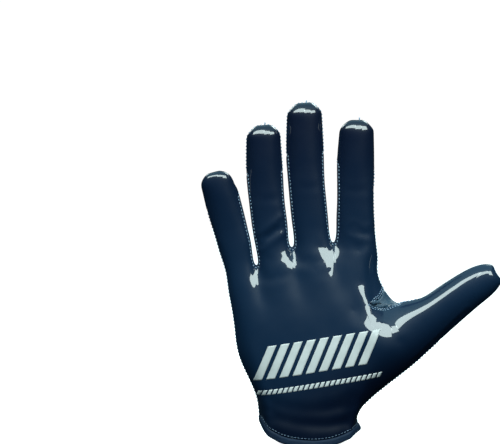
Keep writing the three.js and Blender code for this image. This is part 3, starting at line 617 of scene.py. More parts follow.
def embossHeight(x, z):
    z = z - emboss["tilt"] * x
    middle = (emboss["low"] + emboss["high"]) / 2
    pitch = (emboss["right"] - emboss["left"]) / emboss["bars"]
    along = x - emboss["slant"] * (z - middle)
    halfBar = pitch * emboss["fill"] / 2
    fromBar = np.abs((along - emboss["left"]) % pitch - halfBar) - halfBar
    bar = np.maximum(fromBar, np.abs(z - middle) - (emboss["high"] - emboss["low"]) / 2)
    ends = np.maximum(emboss["left"] - along, along - emboss["right"] + pitch * (1 - emboss["fill"]))
    bar = np.maximum(bar, ends)
    ruleMiddle = (emboss["ruleLow"] + emboss["ruleHigh"]) / 2
    line = np.maximum(np.abs(z - ruleMiddle) - (emboss["ruleHigh"] - emboss["ruleLow"]) / 2, ends)
    inside = -np.minimum(bar, line)
    return emboss["height"] * np.clip(inside / emboss["soft"] + 0.5, 0, 1)


def insideEmboss(x, z):
    z = z - emboss["tilt"] * x
    more = emboss["clear"]
    across = emboss["left"] - more < x < emboss["right"] + more
    return across and emboss["ruleLow"] - more < z < emboss["high"] + more


# the leather is not quite even anywhere
uneven = {"large": 19, "largeHeight": 0.32, "small": 7.5, "smallHeight": 0.1, "smallFrom": 40}
lumps = np.array([noise.noise(Vector(point / uneven["large"])) * uneven["largeHeight"]
                  + noise.noise(Vector(point / uneven["small"] + uneven["smallFrom"])) * uneven["smallHeight"]
                  for point in skinPoints])
onBackSide = np.clip(facing * 2, 0, 1)
calm = np.clip(seamDistance / 3, 0, 1)
push += lumps * calm * (0.5 + 0.85 * onBackSide)
push += np.where(facing > 0.2, embossHeight(skinPoints[:, 0], skinPoints[:, 2]), 0)
push -= seam["groove"] * np.exp(-(seamDistance / seam["width"]) ** 2)
push += seam["swell"] * np.exp(-((seamDistance - seam["swellAt"]) / seam["swellWidth"]) ** 2)
skinPoints = skinPoints + skinNormals * push[:, None]
skinNormals = normalsOf(skinPoints, skinQuads)
skinTree = BVHTree.FromPolygons(skinPoints.tolist(), skinQuads.tolist())
print("folds:", len(folds))


# perforations: holes stand in lines that follow each finger, then spread over the back of the hand
# edge is how much wider than the hole each ring of its rounded edge is, and how deep the ring lies
perforation = {"radius": 0.72, "pitchAcross": 7.6, "pitchAlong": 7.4, "clear": 3.2, "apart": 4.6,
               "facing": 0.45, "sides": 12, "edge": [(0.22, 0), (0.06, 0.06), (0, 0.22)], "reach": 1.35,
               "liningReach": 1.75}
handRows = {"low": 28, "high": 114.0, "left": -52.0, "right": 78, "lean": 0.03, "leanFrom": 70, "rise": 0.06,
            "riseFrom": 5, "across": 1.04, "along": 0.98}
# no holes near the wrist, nor round the closure tab
bare = {"wrist": 26, "tabHigh": 52, "tabRight": 16}


def onSide(x, z, side):
    hit, normal, face, _ = skinTree.ray_cast(Vector((x, side * 200, z)), Vector((0, -side, 0)))
    return (None, None, None) if hit is None else (np.array(hit), np.array(normal), face)


def perforationPlaces():
    places = []
    for index, finger in enumerate(fingers):
        left, right = crotches[index], crotches[index + 1]
        baseX = (left[0] + right[0]) / 2 * hand["palmBreadth"]
        baseZ = (left[1] + right[1]) / 2 * hand["palmLength"]
        lean = math.radians(finger["lean"])
        rows = int(finger["length"] * finger["cap"] / perforation["pitchAlong"])
        for row in range(1, rows + (0 if finger["wrapped"] else 2)):
            reach = row * perforation["pitchAlong"]
            bow = finger["bow"] * finger["width"] * math.sin(math.pi * reach / finger["length"])
            for column in (-1, 0, 1):
                sideways = column * perforation["pitchAcross"] - bow
                height = reach + (perforation["pitchAlong"] / 2 if column else 0)
                places.append((baseX - math.sin(lean) * height + math.cos(lean) * sideways,
                               baseZ + math.cos(lean) * height + math.sin(lean) * sideways))
    row = 0
    z = handRows["high"]
    while z > handRows["low"]:
        shift = perforation["pitchAcross"] / 2 if row % 2 else 0
        x = handRows["left"] + shift
        while x < handRows["right"]:
            places.append((x - (z - handRows["leanFrom"]) * handRows["lean"],
                           z + handRows["rise"] * (x - handRows["riseFrom"])))
            x += perforation["pitchAcross"] * handRows["across"]
        z -= perforation["pitchAlong"] * handRows["along"]
        row += 1
    return places


holes = {"back_panel": [], "thumb_back_panel": []}
keptHoles = []
for x, z in perforationPlaces():
    place, normal, face = onSide(x, z, 1)
    if place is None or normal[1] < perforation["facing"] or insideEmboss(x, z):
        continue
    panel = sorted(panelNames)[labels[face]]
    if panel not in holes or seamTree.find(place)[2] < perforation["clear"]:
        continue
    if place[2] < bare["wrist"] or (place[2] < bare["tabHigh"] and place[0] < bare["tabRight"]):
        continue
    if any(np.linalg.norm(place - other) < perforation["apart"] for other in keptHoles):
        continue
    keptHoles.append(place)
    holes[panel].append((place, normal))
print("perforations:", len(keptHoles))


# making pieces
def addPiece(name, vertices, polygons, material, node=None, slot=None):
    mesh = bpy.data.meshes.new(name)
    places = [tuple(float(c) * mm for c in vertex) for vertex in vertices]
    mesh.from_pydata(places, [], [tuple(map(int, polygon)) for polygon in polygons])
    mesh.polygons.foreach_set("use_smooth", [True] * len(mesh.polygons))
    mesh.update()
    mesh.validate()
    piece = bpy.data.objects.new(name, mesh)
    scene.collection.objects.link(piece)
    mesh.materials.append(material)
    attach(piece, "root")
    if node:
        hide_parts(node)
    return piece


def tangents(normal):
    upright = (0, 0, 1) if abs(normal[2]) < 0.9 else (1, 0, 0)
    sideways = unit(np.cross(upright, normal))
    return sideways, np.cross(normal, sideways)


# joins an outer loop to a ring of points by walking round both by angle
def zipped(loop, loopAngles, ring, ringAngles):
    polygons = []
    loopStart = int(np.argmin(loopAngles))
    ringStart = int(np.argmin(ringAngles))
    i = j = 0
    n, m = len(loop), len(ring)

    # the angles from the smallest one on, up to a whole turn more
    def rising(angles, start):
        count = len(angles)
        turns = [angles[(start + k) % count] + 2 * math.pi * ((start + k) // count) for k in range(count)]
        return [turns[0] + (angle - turns[0]) % (2 * math.pi) for angle in turns] + [turns[0] + 2 * math.pi]

    outer, inner = rising(loopAngles, loopStart), rising(ringAngles, ringStart)
    while i < n or j < m:
        here = loop[(loopStart + i) % n]
        there = ring[(ringStart + j) % m]
        if j >= m or (i < n and outer[i + 1] <= inner[j + 1]):
            polygons.append((here, loop[(loopStart + i + 1) % n], there))
            i += 1
        else:
            polygons.append((here, ring[(ringStart + j + 1) % m], there))
            j += 1
    return polygons


# takes the faces round one hole away and puts a ring in their place; returns the ring's ids
def openHole(store, live, centres, tree, place, normal, reach, radii, inward):
    near = [n for _, n, _ in tree.find_range(place, reach) if live[n]]
    near = [n for n in near if abs(np.dot(centres[n] - place, normal)) < 1.5]
    if not near:
        return None
    following = {}
    inside = set()
    for n in near:
        quad = store["quads"][n]
        inside.update((a, b) for a, b in zip(quad, np.roll(quad, -1)))
    for a, b in inside:
        if (b, a) not in inside:
            if a in following:
                return None
            following[a] = b
    loop = [next(iter(following))]
    while following[loop[-1]] != loop[0]:
        loop.append(following[loop[-1]])
    if len(loop) != len(following):
        return None
    across, up = tangents(normal)
    if inward:
        up = -up

    def angles(points):
        return [math.atan2(np.dot(p - place, up), np.dot(p - place, across)) for p in points]

    loopAngles = angles([store["points"][id] for id in loop])
    turns = np.diff(np.unwrap(loopAngles + loopAngles[:1]))
    if min(turns) < -0.25:
        return None
    for n in near:
        live[n] = False
    rings = []
    for radius, sink in radii:
        ids = []
        for step in range(perforation["sides"]):
            turn = 2 * math.pi * step / perforation["sides"]
            ids.append(len(store["points"]))
            spoke = math.cos(turn) * across + math.sin(turn) * up
            store["points"].append(place + radius * spoke - normal * sink)
        rings.append(ids)
    store["extra"] += zipped(loop, loopAngles, rings[0], angles([store["points"][id] for id in rings[0]]))
    for outer, inner in zip(rings[:-1], rings[1:]):
        store["extra"] += [(outer[k], outer[(k + 1) % len(outer)], inner[(k + 1) % len(outer)], inner[k])
                           for k in range(len(outer))]
    return rings[-1]


leather = {"thickness": 1.2, "seamGap": 0.24}


# one closed wall of leather: its outer side is the fine skin, its lining is one level coarser
def leatherPanel(name, material, slot):
    own = labels == panelNumber[name]
    ownInner = innerLabels == panelNumber[name]
    outerQuads = skinQuads[own]
    liningQuads = innerFaces[ownInner][:, ::-1]
    following = {}
    pairs = {(int(a), int(b)) for quad in innerFaces[ownInner] for a, b in zip(quad, np.roll(quad, -1))}
    for a, b in pairs:
        if (b, a) not in pairs:
            following[a] = b
    edgeMiddle = {tuple(edge): innerCount + n for n, edge in enumerate(innerNet["edges"].tolist())}

    def middleOf(a, b):
        return edgeMiddle[(min(a, b), max(a, b))]

    outerPoints = skinPoints.copy()
    behind = {b: a for a, b in following.items()}
    ordered = {}
    for a, b in following.items():
        middle = middleOf(a, b)
        ordered[a] = (middleOf(behind[a], a), middle)
        ordered[middle] = (a, b)
    for id, (before, after) in ordered.items():
        along = unit(skinPoints[after] - skinPoints[before])
        inward = np.cross(skinNormals[id], along)
        outerPoints[id] = skinPoints[id] + inward * leather["seamGap"] / 2
    innerPoints = outerPoints[:innerCount] - skinNormals[:innerCount] * leather["thickness"]

    outer = {"points": list(outerPoints), "quads": outerQuads, "extra": []}
    lining = {"points": list(innerPoints), "quads": liningQuads, "extra": []}
    rings = []
    live = {"outer": np.ones(len(outerQuads), bool), "lining": np.ones(len(liningQuads), bool)}
    if name in holes:
        trees = {}
        for key, store in (("outer", outer), ("lining", lining)):
            centres = np.array(store["points"])[store["quads"]].mean(axis=1)
            tree = KDTree(len(centres))
            for number, centre in enumerate(centres):
                tree.insert(centre, number)
            tree.balance()
            trees[key] = (centres, tree)
        radius = perforation["radius"]
        edgeRings = [(radius + wider, sink) for wider, sink in perforation["edge"]]
        for place, normal in holes[name]:
            top = openHole(outer, live["outer"], *trees["outer"], place, normal, perforation["reach"],
                           edgeRings, False)
            if top is None:
                continue
            below = openHole(lining, live["lining"], *trees["lining"], place - normal * leather["thickness"],
                             normal, perforation["liningReach"], [(radius, 0)], True)
            rings.append((top, below))
    shift = len(outer["points"])
    polygons = [tuple(quad) for quad in outerQuads[live["outer"]]] + outer["extra"]
    polygons += [tuple(quad + shift) for quad in liningQuads[live["lining"]]]
    polygons += [tuple(id + shift for id in polygon) for polygon in lining["extra"]]
    for a, b in following.items():
        polygons.append((b, middleOf(a, b), a, a + shift, b + shift))
    sides = perforation["sides"]
    for top, below in rings:
        if below is None:
            polygons.append(tuple(top))
            continue
        # the lining's ring runs the other way round
        for k in range(sides):
            a, b = top[k], top[(k + 1) % sides]
            c, d = below[(-k - 1) % sides] + shift, below[(-k) % sides] + shift
            polygons.append((a, b, c, d))
    allPoints = np.array(outer["points"] + lining["points"])
    used = np.unique(np.concatenate([np.array(polygon) for polygon in polygons]))
    place = np.full(len(allPoints), -1)
    place[used] = np.arange(len(used))
    polygons = [tuple(place[list(polygon)]) for polygon in polygons]
    sewnName = name.replace("panel", "leather") + "_sewn"
    return addPiece(sewnName, allPoints[used], polygons, material, node=name, slot=slot)


# materials
def linear(hexColour):
    values = [int(hexColour[k:k + 2], 16) / 255 for k in (1, 3, 5)]
    return [v / 12.92 if v <= 0.04045 else ((v + 0.055) / 1.055) ** 2.4 for v in values] + [1]


def feed(tree, node, inputs):
    for socket, value in inputs.items():
        if isinstance(value, bpy.types.NodeSocket):
            tree.links.new(value, node.inputs[socket])
        else:
            node.inputs[socket].default_value = value


def addNode(tree, kind, inputs=(), **settings):
    node = tree.nodes.new("ShaderNode" + kind)
    for key, value in settings.items():
        setattr(node, key, value)
    feed(tree, node, dict(inputs))
    return node


def ranged(tree, value, fromRange, toRange=(0, 1), **settings):
    limits = {"From Min": fromRange[0], "From Max": fromRange[1], "To Min": toRange[0], "To Max": toRange[1]}
    return addNode(tree, "MapRange", {"Value": value, **limits}, **settings).outputs["Result"]


def mixed(tree, share, a, b):
    return addNode(tree, "Mix", {"Factor": share, "A": a, "B": b}, data_type="RGBA").outputs["Result"]


def alongAxis(tree, vector, axis):
    return addNode(tree, "VectorMath", {0: vector, 1: axis}, operation="DOT_PRODUCT").outputs["Value"]


def newMaterial(name):
    material = bpy.data.materials.new(name)
    material.use_nodes = True
    return material, material.node_tree, material.node_tree.nodes["Principled BSDF"]


# every leather here is grain, wrinkles and slow colour drift over one base, and the palm film also gets
# painted light and shade; sizes are in millimetres
def finishedLeather(name, finish):
    material, tree, shader = newMaterial(name)
    place = addNode(tree, "TexCoord").outputs["Object"]
    drift = addNode(tree, "TexNoise", {"Vector": place, "Scale": 1000 / finish["drift"], "Detail": 3})
    blotch = addNode(tree, "TexNoise", {"Vector": place, "Scale": 5000 / finish["drift"], "Detail": 4})
    share = drift.outputs["Fac"]
    # painted light and shade: the colour is pushed to its light end over the palm and to its dark end up the
    # fingers, for light that falls on the palm more than on the fingers
    if "band" in finish:
        height = addNode(tree, "SeparateXYZ", {0: place}).outputs["Z"]
        band = ranged(tree, height, [z * mm for z in finish["band"]], (0.85, -0.15))
        share = addNode(tree, "Math", {0: share, 1: 0.3, 2: band}, operation="MULTIPLY_ADD",
                        use_clamp=True).outputs[0]
    shade = mixed(tree, share, linear(finish["dark"]), linear(finish["light"]))
    # painted shade: the film darkens to near black towards the heel, where the palm turns down away from the
    # light
    if "heelShade" in finish:
        slope = alongAxis(tree, place, finish["heelAlong"])
        fade = ranged(tree, slope, [length * mm for length in finish["heelFade"]],
                      interpolation_type="SMOOTHSTEP")
        shade = mixed(tree, fade, linear(finish["heelShade"]), shade)
    # painted light: the film turns a lighter navy where its surface faces the back of the hand
    if "backFacingLight" in finish:
        facing = alongAxis(tree, addNode(tree, "TexCoord").outputs["Normal"], (0, 1, 0))
        shade = mixed(tree, ranged(tree, facing, (0.1, 0.7)), shade, linear(finish["backFacingLight"]))
    # grain: a pebble of about half a millimetre, then fine creases that only show where light grazes
    grain = addNode(tree, "TexVoronoi", {"Vector": place, "Scale": 1000 / finish["grain"]}, feature="F1")
    crease = addNode(tree, "TexNoise", {"Vector": place, "Scale": 1000 / finish["crease"], "Detail": 6,
                                        "Roughness": 0.6})
    relief = addNode(tree, "Math", {0: grain.outputs["Distance"], 1: finish["grainShare"],
                                    2: crease.outputs["Fac"]}, operation="MULTIPLY_ADD")
    bump = addNode(tree, "Bump", {"Height": relief.outputs[0], "Strength": finish["relief"],
                                  "Distance": 0.3 * mm})
    rough = ranged(tree, blotch.outputs["Fac"], (0.3, 0.7), finish["roughness"])
    feed(tree, shader, {
        "Base Color": shade, "Roughness": rough, "Normal": bump.outputs["Normal"], "IOR": finish["ior"],
        "Specular IOR Level": finish.get("specular", 0.5), "Coat Weight": finish.get("coat", 0),
        "Coat Roughness": finish.get("coatRoughness", 0.1), "Sheen Weight": finish.get("sheen", 0),
        "Sheen Roughness": 0.5})
    return material


# polyurethane film over the palm leather: smooth, tacky and wet-looking; its colour has painted shade up the
# fingers and at the heel, and painted light where it faces the back
filmedLeather = finishedLeather("polyurethane coated leather", {
    "dark": "#060e21", "light": "#0a1d32", "band": (105, 200), "drift": 60, "grain": 0.9, "crease": 2.6,
    "grainShare": 0.3, "relief": 0.03, "roughness": (0.36, 0.44), "ior": 1.5, "specular": 0.1, "coat": 1.0,
    "coatRoughness": 0.03, "heelShade": "#030b1c", "heelAlong": (-0.45, 0, 1), "heelFade": (8, 55),
    "backFacingLight": "#21405f"})
# perforated synthetic leather on the back: embossed grain, dull
mattLeather = finishedLeather("perforated synthetic leather", {
    "dark": "#0a2342", "light": "#143d66", "drift": 45, "grain": 0.8, "crease": 3.2, "grainShare": 0.8,
    "relief": 0.35, "roughness": (0.46, 0.6), "ior": 1.5, "specular": 0.3})
softLeather = finishedLeather("nappa leather", {
    "dark": "#16293a", "light": "#2b4456", "drift": 30, "grain": 0.7, "crease": 2.4, "grainShare": 0.8,
    "relief": 0.35, "roughness": (0.36, 0.5), "ior": 1.5})
stretchKnit = finishedLeather("polyester knit", {
    "dark": "#0c1829", "light": "#172941", "drift": 30, "grain": 0.7, "crease": 1.2, "grainShare": 1.2,
    "relief": 0.5, "roughness": (0.66, 0.8), "ior": 1.45, "specular": 0.3, "sheen": 0.04})
bindingTape = finishedLeather("woven polyester tape", {
    "dark": "#081526", "light": "#0f2238", "drift": 30, "grain": 0.6, "crease": 1.4, "grainShare": 1.2,
    "relief": 0.5, "roughness": (0.55, 0.7), "ior": 1.45, "specular": 0.2})
mouldedRubber = finishedLeather("moulded rubber", {
    "dark": "#17355a", "light": "#244d75", "drift": 40, "grain": 0.5, "crease": 1.6, "grainShare": 0.6,
    "relief": 0.15, "roughness": (0.42, 0.55), "ior": 1.5})

panels = {
    "palm_panel": (filmedLeather, "palm_leather"), "back_panel": (mattLeather, "back_leather"),
    "thumb_back_panel": (mattLeather, "thumb_back_leather"), "thumb_gusset": (softLeather, "gusset_leather"),
}
for name in panelNames:
    material, slot = panels.get(name, (stretchKnit, "fourchette_fabric"))
    piece = leatherPanel(name, material, slot)
    print(name, len(piece.data.polygons), "faces")


# hem
hem = {"height": 4.4, "thickness": 2.4, "gap": 0.3, "rowAbove": 1.2}


def rimLoop():
    following = {}
    edges = {(int(a), int(b)) for quad in innerFaces for a, b in zip(quad, np.roll(quad, -1))}
    for a, b in edges:
        if (b, a) not in edges:
            following[a] = b
    loop = [min(following)]
    while following[loop[-1]] != loop[0]:
        loop.append(following[loop[-1]])
    return loop


def sweptLoop(name, frames, section, material, **links):
    vertices = [place + down * a + out * b for place, down, out in frames for a, b in section]
    sides = len(section)
    polygons = []
    for n in range(len(frames)):
        here, there = n * sides, (n + 1) % len(frames) * sides
        for k in range(sides):
            nextSide = (k + 1) % sides
            polygons.append((here + k, here + nextSide, there + nextSide, there + k))
    return addPiece(name, vertices, polygons, material, **links)


rim = rimLoop()
rimFrames = []
for n, id in enumerate(rim):
    along = unit(skinPoints[rim[(n + 1) % len(rim)]] - skinPoints[rim[n - 1]])
    out = skinNormals[id]
    rimFrames.append((skinPoints[id], unit(np.cross(along, out)), out))
outside = (hem["thickness"] - leather["thickness"]) / 2
roll = hem["thickness"] / 2
middle = outside - roll
bottom = hem["gap"] + hem["height"]
# the tape's section, down from the leather's edge and out from its skin; its top overlaps the leather
section = [(-0.5, middle - 0.5), (-0.5, middle + 0.4), (hem["gap"] + 0.25, outside - 0.25),
           (hem["gap"] + 0.7, outside)]
section += [(hem["gap"] + 1.6, outside - 0.12), (hem["gap"] + 2.6, outside + 0.05)]
section += [(bottom - roll + roll * math.sin(turn), middle + roll * math.cos(turn))
            for turn in np.linspace(0.15, math.pi - 0.15, 9)]
section += [(hem["gap"] + 1.0, outside - hem["thickness"]), (-0.4, outside - hem["thickness"] + 0.2)]
sweptLoop("wrist_binding", rimFrames, section, bindingTape, node="hem_binding", slot="binding")
print("hem:", len(rim), "steps")


# closure tab
tab = {"start": 0.232, "length": 44, "gap": 0.7, "thickness": 1.6, "ribHeight": 0.9, "pitch": 4.2,
       "lean": 0.69, "rim": 2.4, "groove": 0.65, "depth": 0.7, "cell": 0.36, "rows": 76, "rimSoft": 0.7,
       "round": 1.1, "channel": 0.3, "channelWidth": 0.35}
# how far along the tab, then how far its low and its high edge lie above the rim, in shares of its length
tabOutline = [(0, 0.17, 0.25), (0.04, 0.14, 0.29), (0.22, 0.03, 0.42), (0.45, 0.03, 0.58), (0.66, 0.03, 0.7),
              (0.8, 0.04, 0.7), (1, 0.06, 0.68)]


def outlineAt(along, column):
    return float(np.interp(along, [row[0] for row in tabOutline], [row[column] for row in tabOutline]))


rimXs = [skinPoints[id] for id in rim if skinNormals[id][1] > 0]
rimXs.sort(key=lambda point: point[0])


def backEdgeAt(x):
    return float(np.interp(x, [point[0] for point in rimXs], [point[2] for point in rimXs]))


# the faces of a closed slab: a lower layer of points in columns, then an upper one, joined along the edge
def slabFaces(columns, rows, first=0):
    layer = (columns + 1) * (rows + 1)

    def at(column, row):
        return first + column * (rows + 1) + row

    polygons = []
    for column in range(columns):
        for row in range(rows):
            a, b, c, d = at(column, row), at(column + 1, row), at(column + 1, row + 1), at(column, row + 1)
            polygons += [(a, d, c, b), (a + layer, b + layer, c + layer, d + layer)]
    edge = [at(column, 0) for column in range(columns)]
    edge += [at(columns, row) for row in range(rows)]
    edge += [at(columns - column, rows) for column in range(columns)]
    edge += [at(0, rows - row) for row in range(rows)]
    return polygons + [(a, b, b + layer, a + layer) for a, b in zip(edge, edge[1:] + edge[:1])]


def closureTab():
    bluntX = tab["start"] * hand["wristBreadth"]
    columns = int(tab["length"] / tab["cell"])
    rows = tab["rows"]
    grid = []
    for column in range(columns + 1):
        along = column / columns
        x = bluntX - along * tab["length"]
        edge = backEdgeAt(x)
        low, high = (outlineAt(along, k) * tab["length"] for k in (1, 2))
        grid.append([(x, edge + mix(low, high, row / rows)) for row in range(rows + 1)])
    grid = np.array(grid)
    outline = np.vstack([grid[:, 0], grid[-1, :], grid[::-1, -1], grid[0, ::-1]])
    outlineTree = KDTree(len(outline))
    for number, (x, z) in enumerate(outline):
        outlineTree.insert((x, z, 0), number)
    outlineTree.balance()
    outer, inner = [], []
    for column in range(columns + 1):
        for row in range(rows + 1):
            x, z = grid[column, row]
            place, normal, _ = onSide(x, z, 1)
            inset = outlineTree.find((x, z, 0))[2]
            phase = ((x - tab["lean"] * z) / tab["pitch"]) % 1
            toGroove = min(phase, 1 - phase) * tab["pitch"] / math.hypot(1, tab["lean"])
            rib = 1 - math.exp(-(toGroove / tab["groove"]) ** 2)
            crown = tab["ribHeight"] * (0.75 + 0.25 * math.cos(math.pi * (1 - 2 * min(phase, 1 - phase))))
            field = np.clip((inset - tab["rim"]) / tab["rimSoft"], 0, 1)
            height = mix(tab["ribHeight"] * 0.9, crown * rib - tab["depth"] * (1 - rib), field)
            height *= math.sqrt(max(0, 1 - (1 - min(inset / tab["round"], 1)) ** 2)) * 0.75 + 0.25
            height -= tab["channel"] * math.exp(-((inset - tab["rim"] - 0.2) / tab["channelWidth"]) ** 2)
            inner.append(place + normal * tab["gap"])
            outer.append(place + normal * (tab["gap"] + tab["thickness"] + height))
    return addPiece("ribbed_tab", inner + outer, slabFaces(columns, rows), mouldedRubber, node="closure_tab",
                    slot="tab_rubber")


closureTab()
print("tab done")

# stitches: one short thread for each, laid along a seam and dipping into the leather at both ends
thread = {"radius": 0.27, "length": 1.35, "pitch": 2.3, "rise": 0.2, "dip": 0.35, "sides": 6, "smoothing": 4,
          "shortestChain": 6, "shortestRun": 4}
stitchVertices = []
stitchPolygons = []


def nearSkin(place):
    hit, normal, _, _ = skinTree.find_nearest(Vector(place))
    return np.array(hit), np.array(normal)


def addStitch(start, end, scale=1.0):
    startPlace, startNormal = nearSkin(start)
    endPlace, endNormal = nearSkin(end)
    normal = unit(startNormal + endNormal)
    along = unit(endPlace - startPlace)
    across = np.cross(normal, along)
    first = len(stitchVertices)
    rings = [(0.0, -thread["dip"], 0.75), (0.12, 0.06, 1), (0.5, thread["rise"], 1.1), (0.88, 0.06, 1),
             (1.0, -thread["dip"], 0.75)]
    for share, rise, girth in rings:
        middlePlace = mix(startPlace, endPlace, share) + normal * rise * scale
        for side in range(thread["sides"]):
            turn = 2 * math.pi * side / thread["sides"]
            stitchVertices.append(middlePlace + thread["radius"] * girth * scale
                                  * (math.cos(turn) * across + math.sin(turn) * normal))
    sides = thread["sides"]
    for ring in range(len(rings) - 1):
        for side in range(sides):
            a, b = first + ring * sides + side, first + ring * sides + (side + 1) % sides
            stitchPolygons.append((a, a + sides, b + sides, b))
    stitchPolygons.append(tuple(first + side for side in range(sides)))
    last = first + (len(rings) - 1) * sides
    stitchPolygons.append(tuple(last + sides - 1 - side for side in range(sides)))


def sewAlong(line, pitch=thread["pitch"], length=thread["length"], scale=1.0):
    line = np.array(line)
    steps = np.linalg.norm(np.diff(line, axis=0), axis=1)
    run = np.concatenate([[0], np.cumsum(steps)])
    place = pitch / 2
    while place + length < run[-1]:
        ends = [np.array([np.interp(place + extra, run, line[:, axis]) for axis in range(3)])
                for extra in (0, length)]
        addStitch(*ends, scale)
        place += pitch


# a line beside a seam, on the first panel's side of it
def besideSeam(chain, inset):
    line = []
    for n, id in enumerate(chain):
        before, after = chain[max(n - 1, 0)], chain[min(n + 1, len(chain) - 1)]
        along = unit(skinPoints[after] - skinPoints[before])
        line.append(skinPoints[id] + np.cross(skinNormals[id], along) * inset)
    line = np.array(line)
    for step in range(thread["smoothing"]):
        line[1:-1] = (line[:-2] + 2 * line[1:-1] + line[2:]) / 4
    return line


def sewSeam(panel, other, insets, keep=None, **how):
    for chain in seamChains(panel, other):
        if len(chain) < thread["shortestChain"]:
            continue
        for inset in insets:
            line = besideSeam(chain, inset)
            if keep:
                held = [keep(place) for place in line]
                runs = np.flatnonzero(np.diff(np.concatenate([[0], np.array(held, int), [0]])))
                for low, high in zip(runs[::2], runs[1::2]):
                    if high - low > thread["shortestRun"]:
                        sewAlong(line[low:high], **how)
            else:
                sewAlong(line, **how)


def alongSurface(places, side):
    line = []
    for x, z in smoothPath(places, 10):
        place, normal, face = onSide(x, z, side)
        if place is not None:
            line.append(place)
    return line


for name in fourchetteNames:
    sewSeam("palm_panel", name, [0.75])
    sewSeam("back_panel", name, [0.75], scale=0.8)
# outer sides and fingertips; the little and the index finger's caps and the thumb have two rows
caps = {"front": -3.5, "pinkyRight": -30, "pinkyLow": 140, "indexLow": 158, "betweenLeft": -34,
        "betweenRight": 18}


def onCap(place):
    low = caps["pinkyLow"] if place[0] < caps["pinkyRight"] else caps["indexLow"]
    between = caps["betweenLeft"] < place[0] < caps["betweenRight"]
    return place[1] > caps["front"] and place[2] > low and not between


sewSeam("palm_panel", "back_panel", [0.75], keep=lambda place: not onCap(place))
sewSeam("palm_panel", "back_panel", [0.9, 2.3], keep=onCap)
sewSeam("palm_panel", "thumb_back_panel", [0.9, 2.2])
sewSeam("thumb_back_panel", "back_panel", [1.0])
for name in ("palm_panel", "back_panel", "thumb_back_panel"):
    sewSeam(name, "thumb_gusset", [0.8, 2.1], pitch=1.9, length=1.2, scale=0.9)
sewAlong(alongSurface([(66, 79), (65.8, 72.3), (69.2, 60)], 1))

# a row round the wrist, just above the binding
rimLine = [place - down * hem["rowAbove"] for place, down, _ in rimFrames + rimFrames[:1]]
sewAlong(rimLine, pitch=2.2, length=1.4, scale=0.4)

# thread ends that stand up at the ring, middle and index fingertips, each at the highest point near its x;
# every ring of one is a share of its height and of its radius
knots = {"x": (-29.5, -2.6, 31.5), "near": 1.5, "height": 1.6, "radius": 0.5, "sides": 6,
         "rings": [(-0.4, 1), (0.5, 0.8), (0.9, 1), (1, 0.5)]}
for x in knots["x"]:
    nearby = [point for point in skinPoints if abs(point[0] - x) < knots["near"]]
    top = max(nearby, key=lambda point: point[2])
    first = len(stitchVertices)
    sides = knots["sides"]
    for rise, girth in knots["rings"]:
        for side in range(sides):
            turn = 2 * math.pi * side / sides
            offset = np.array([math.cos(turn), math.sin(turn), 0]) * knots["radius"] * girth
            stitchVertices.append(top + offset + np.array([0, 0, rise * knots["height"]]))
    for ring in range(len(knots["rings"]) - 1):
        for side in range(sides):
            a, b = first + ring * sides + side, first + ring * sides + (side + 1) % sides
            stitchPolygons.append((a, b, b + sides, a + sides))
    last = first + (len(knots["rings"]) - 1) * sides
    stitchPolygons.append(tuple(first + sides - 1 - side for side in range(sides)))
    stitchPolygons.append(tuple(last + side for side in range(sides)))

# a row just above the closure tab's upper edge
tabLine = []
for along in np.linspace(0.02, 0.98, 16):
    x = tab["start"] * hand["wristBreadth"] - along * tab["length"]
    tabLine.append((x, backEdgeAt(x) + outlineAt(along, 2) * tab["length"] + 1.1))
sewAlong(alongSurface(tabLine, 1), pitch=2.0, length=1.4, scale=0.7)

sewing, sewingTree, sewingShader = newMaterial("bonded nylon thread")
# two plies twisted together: the thread's own colour with painted highlights, fine slanting lighter bands
# where the plies would catch the light
ply = addNode(sewingTree, "TexWave", {"Vector": addNode(sewingTree, "TexCoord").outputs["Object"],
                                      "Scale": 900, "Distortion": 1.5}, wave_type="BANDS",
              bands_direction="DIAGONAL")
plyShade = mixed(sewingTree, ply.outputs["Fac"], linear("#4a6079"), linear("#8399ad"))
feed(sewingTree, sewingShader, {"Base Color": plyShade, "Roughness": 0.45, "IOR": 1.53})
addPiece("seam_stitching", stitchVertices, stitchPolygons, sewing, slot="back_leather")
print("stitching:", len(stitchPolygons), "faces")


# printed band on the palm: plain slanting blocks over a thin broken rule
band = {"left": -31.0, "right": 44.0, "low": 41.0, "high": 62.0, "tilt": 0.16, "tiltFrom": 5, "slant": 0.45,
        "blocks": 9, "gap": 0.34, "sunk": 0.05, "thickness": 0.09, "cell": 0.8}
rule = {"left": -33.0, "right": 47.0, "low": 31.0, "high": 34.2, "blocks": 24, "gap": 0.3}


def printedPatch(store, x0, x1, z0, z1):
    columns = max(2, int((x1 - x0) / band["cell"]))
    rows = max(2, int((z1 - z0) / band["cell"]))
    vertices, polygons = store
    first = len(vertices)
    for lift in (-band["sunk"], band["thickness"]):
        for column in range(columns + 1):
            for row in range(rows + 1):
                share = row / rows
                z = mix(z0, z1, share)
                x = mix(x0, x1, column / columns) + band["slant"] * (z - (z0 + z1) / 2)
                place, normal, _ = onSide(x, z + band["tilt"] * (x - band["tiltFrom"]), -1)
                vertices.append(place + normal * lift)
    polygons += slabFaces(columns, rows, first)


inkStore = ([], [])
for row in (band, rule):
    pitch = (row["right"] - row["left"]) / row["blocks"]
    for block in range(row["blocks"]):
        x = row["left"] + block * pitch
        printedPatch(inkStore, x, x + pitch * (1 - row["gap"]), row["low"], row["high"])
ink, inkTree, inkShader = newMaterial("screen printing ink")
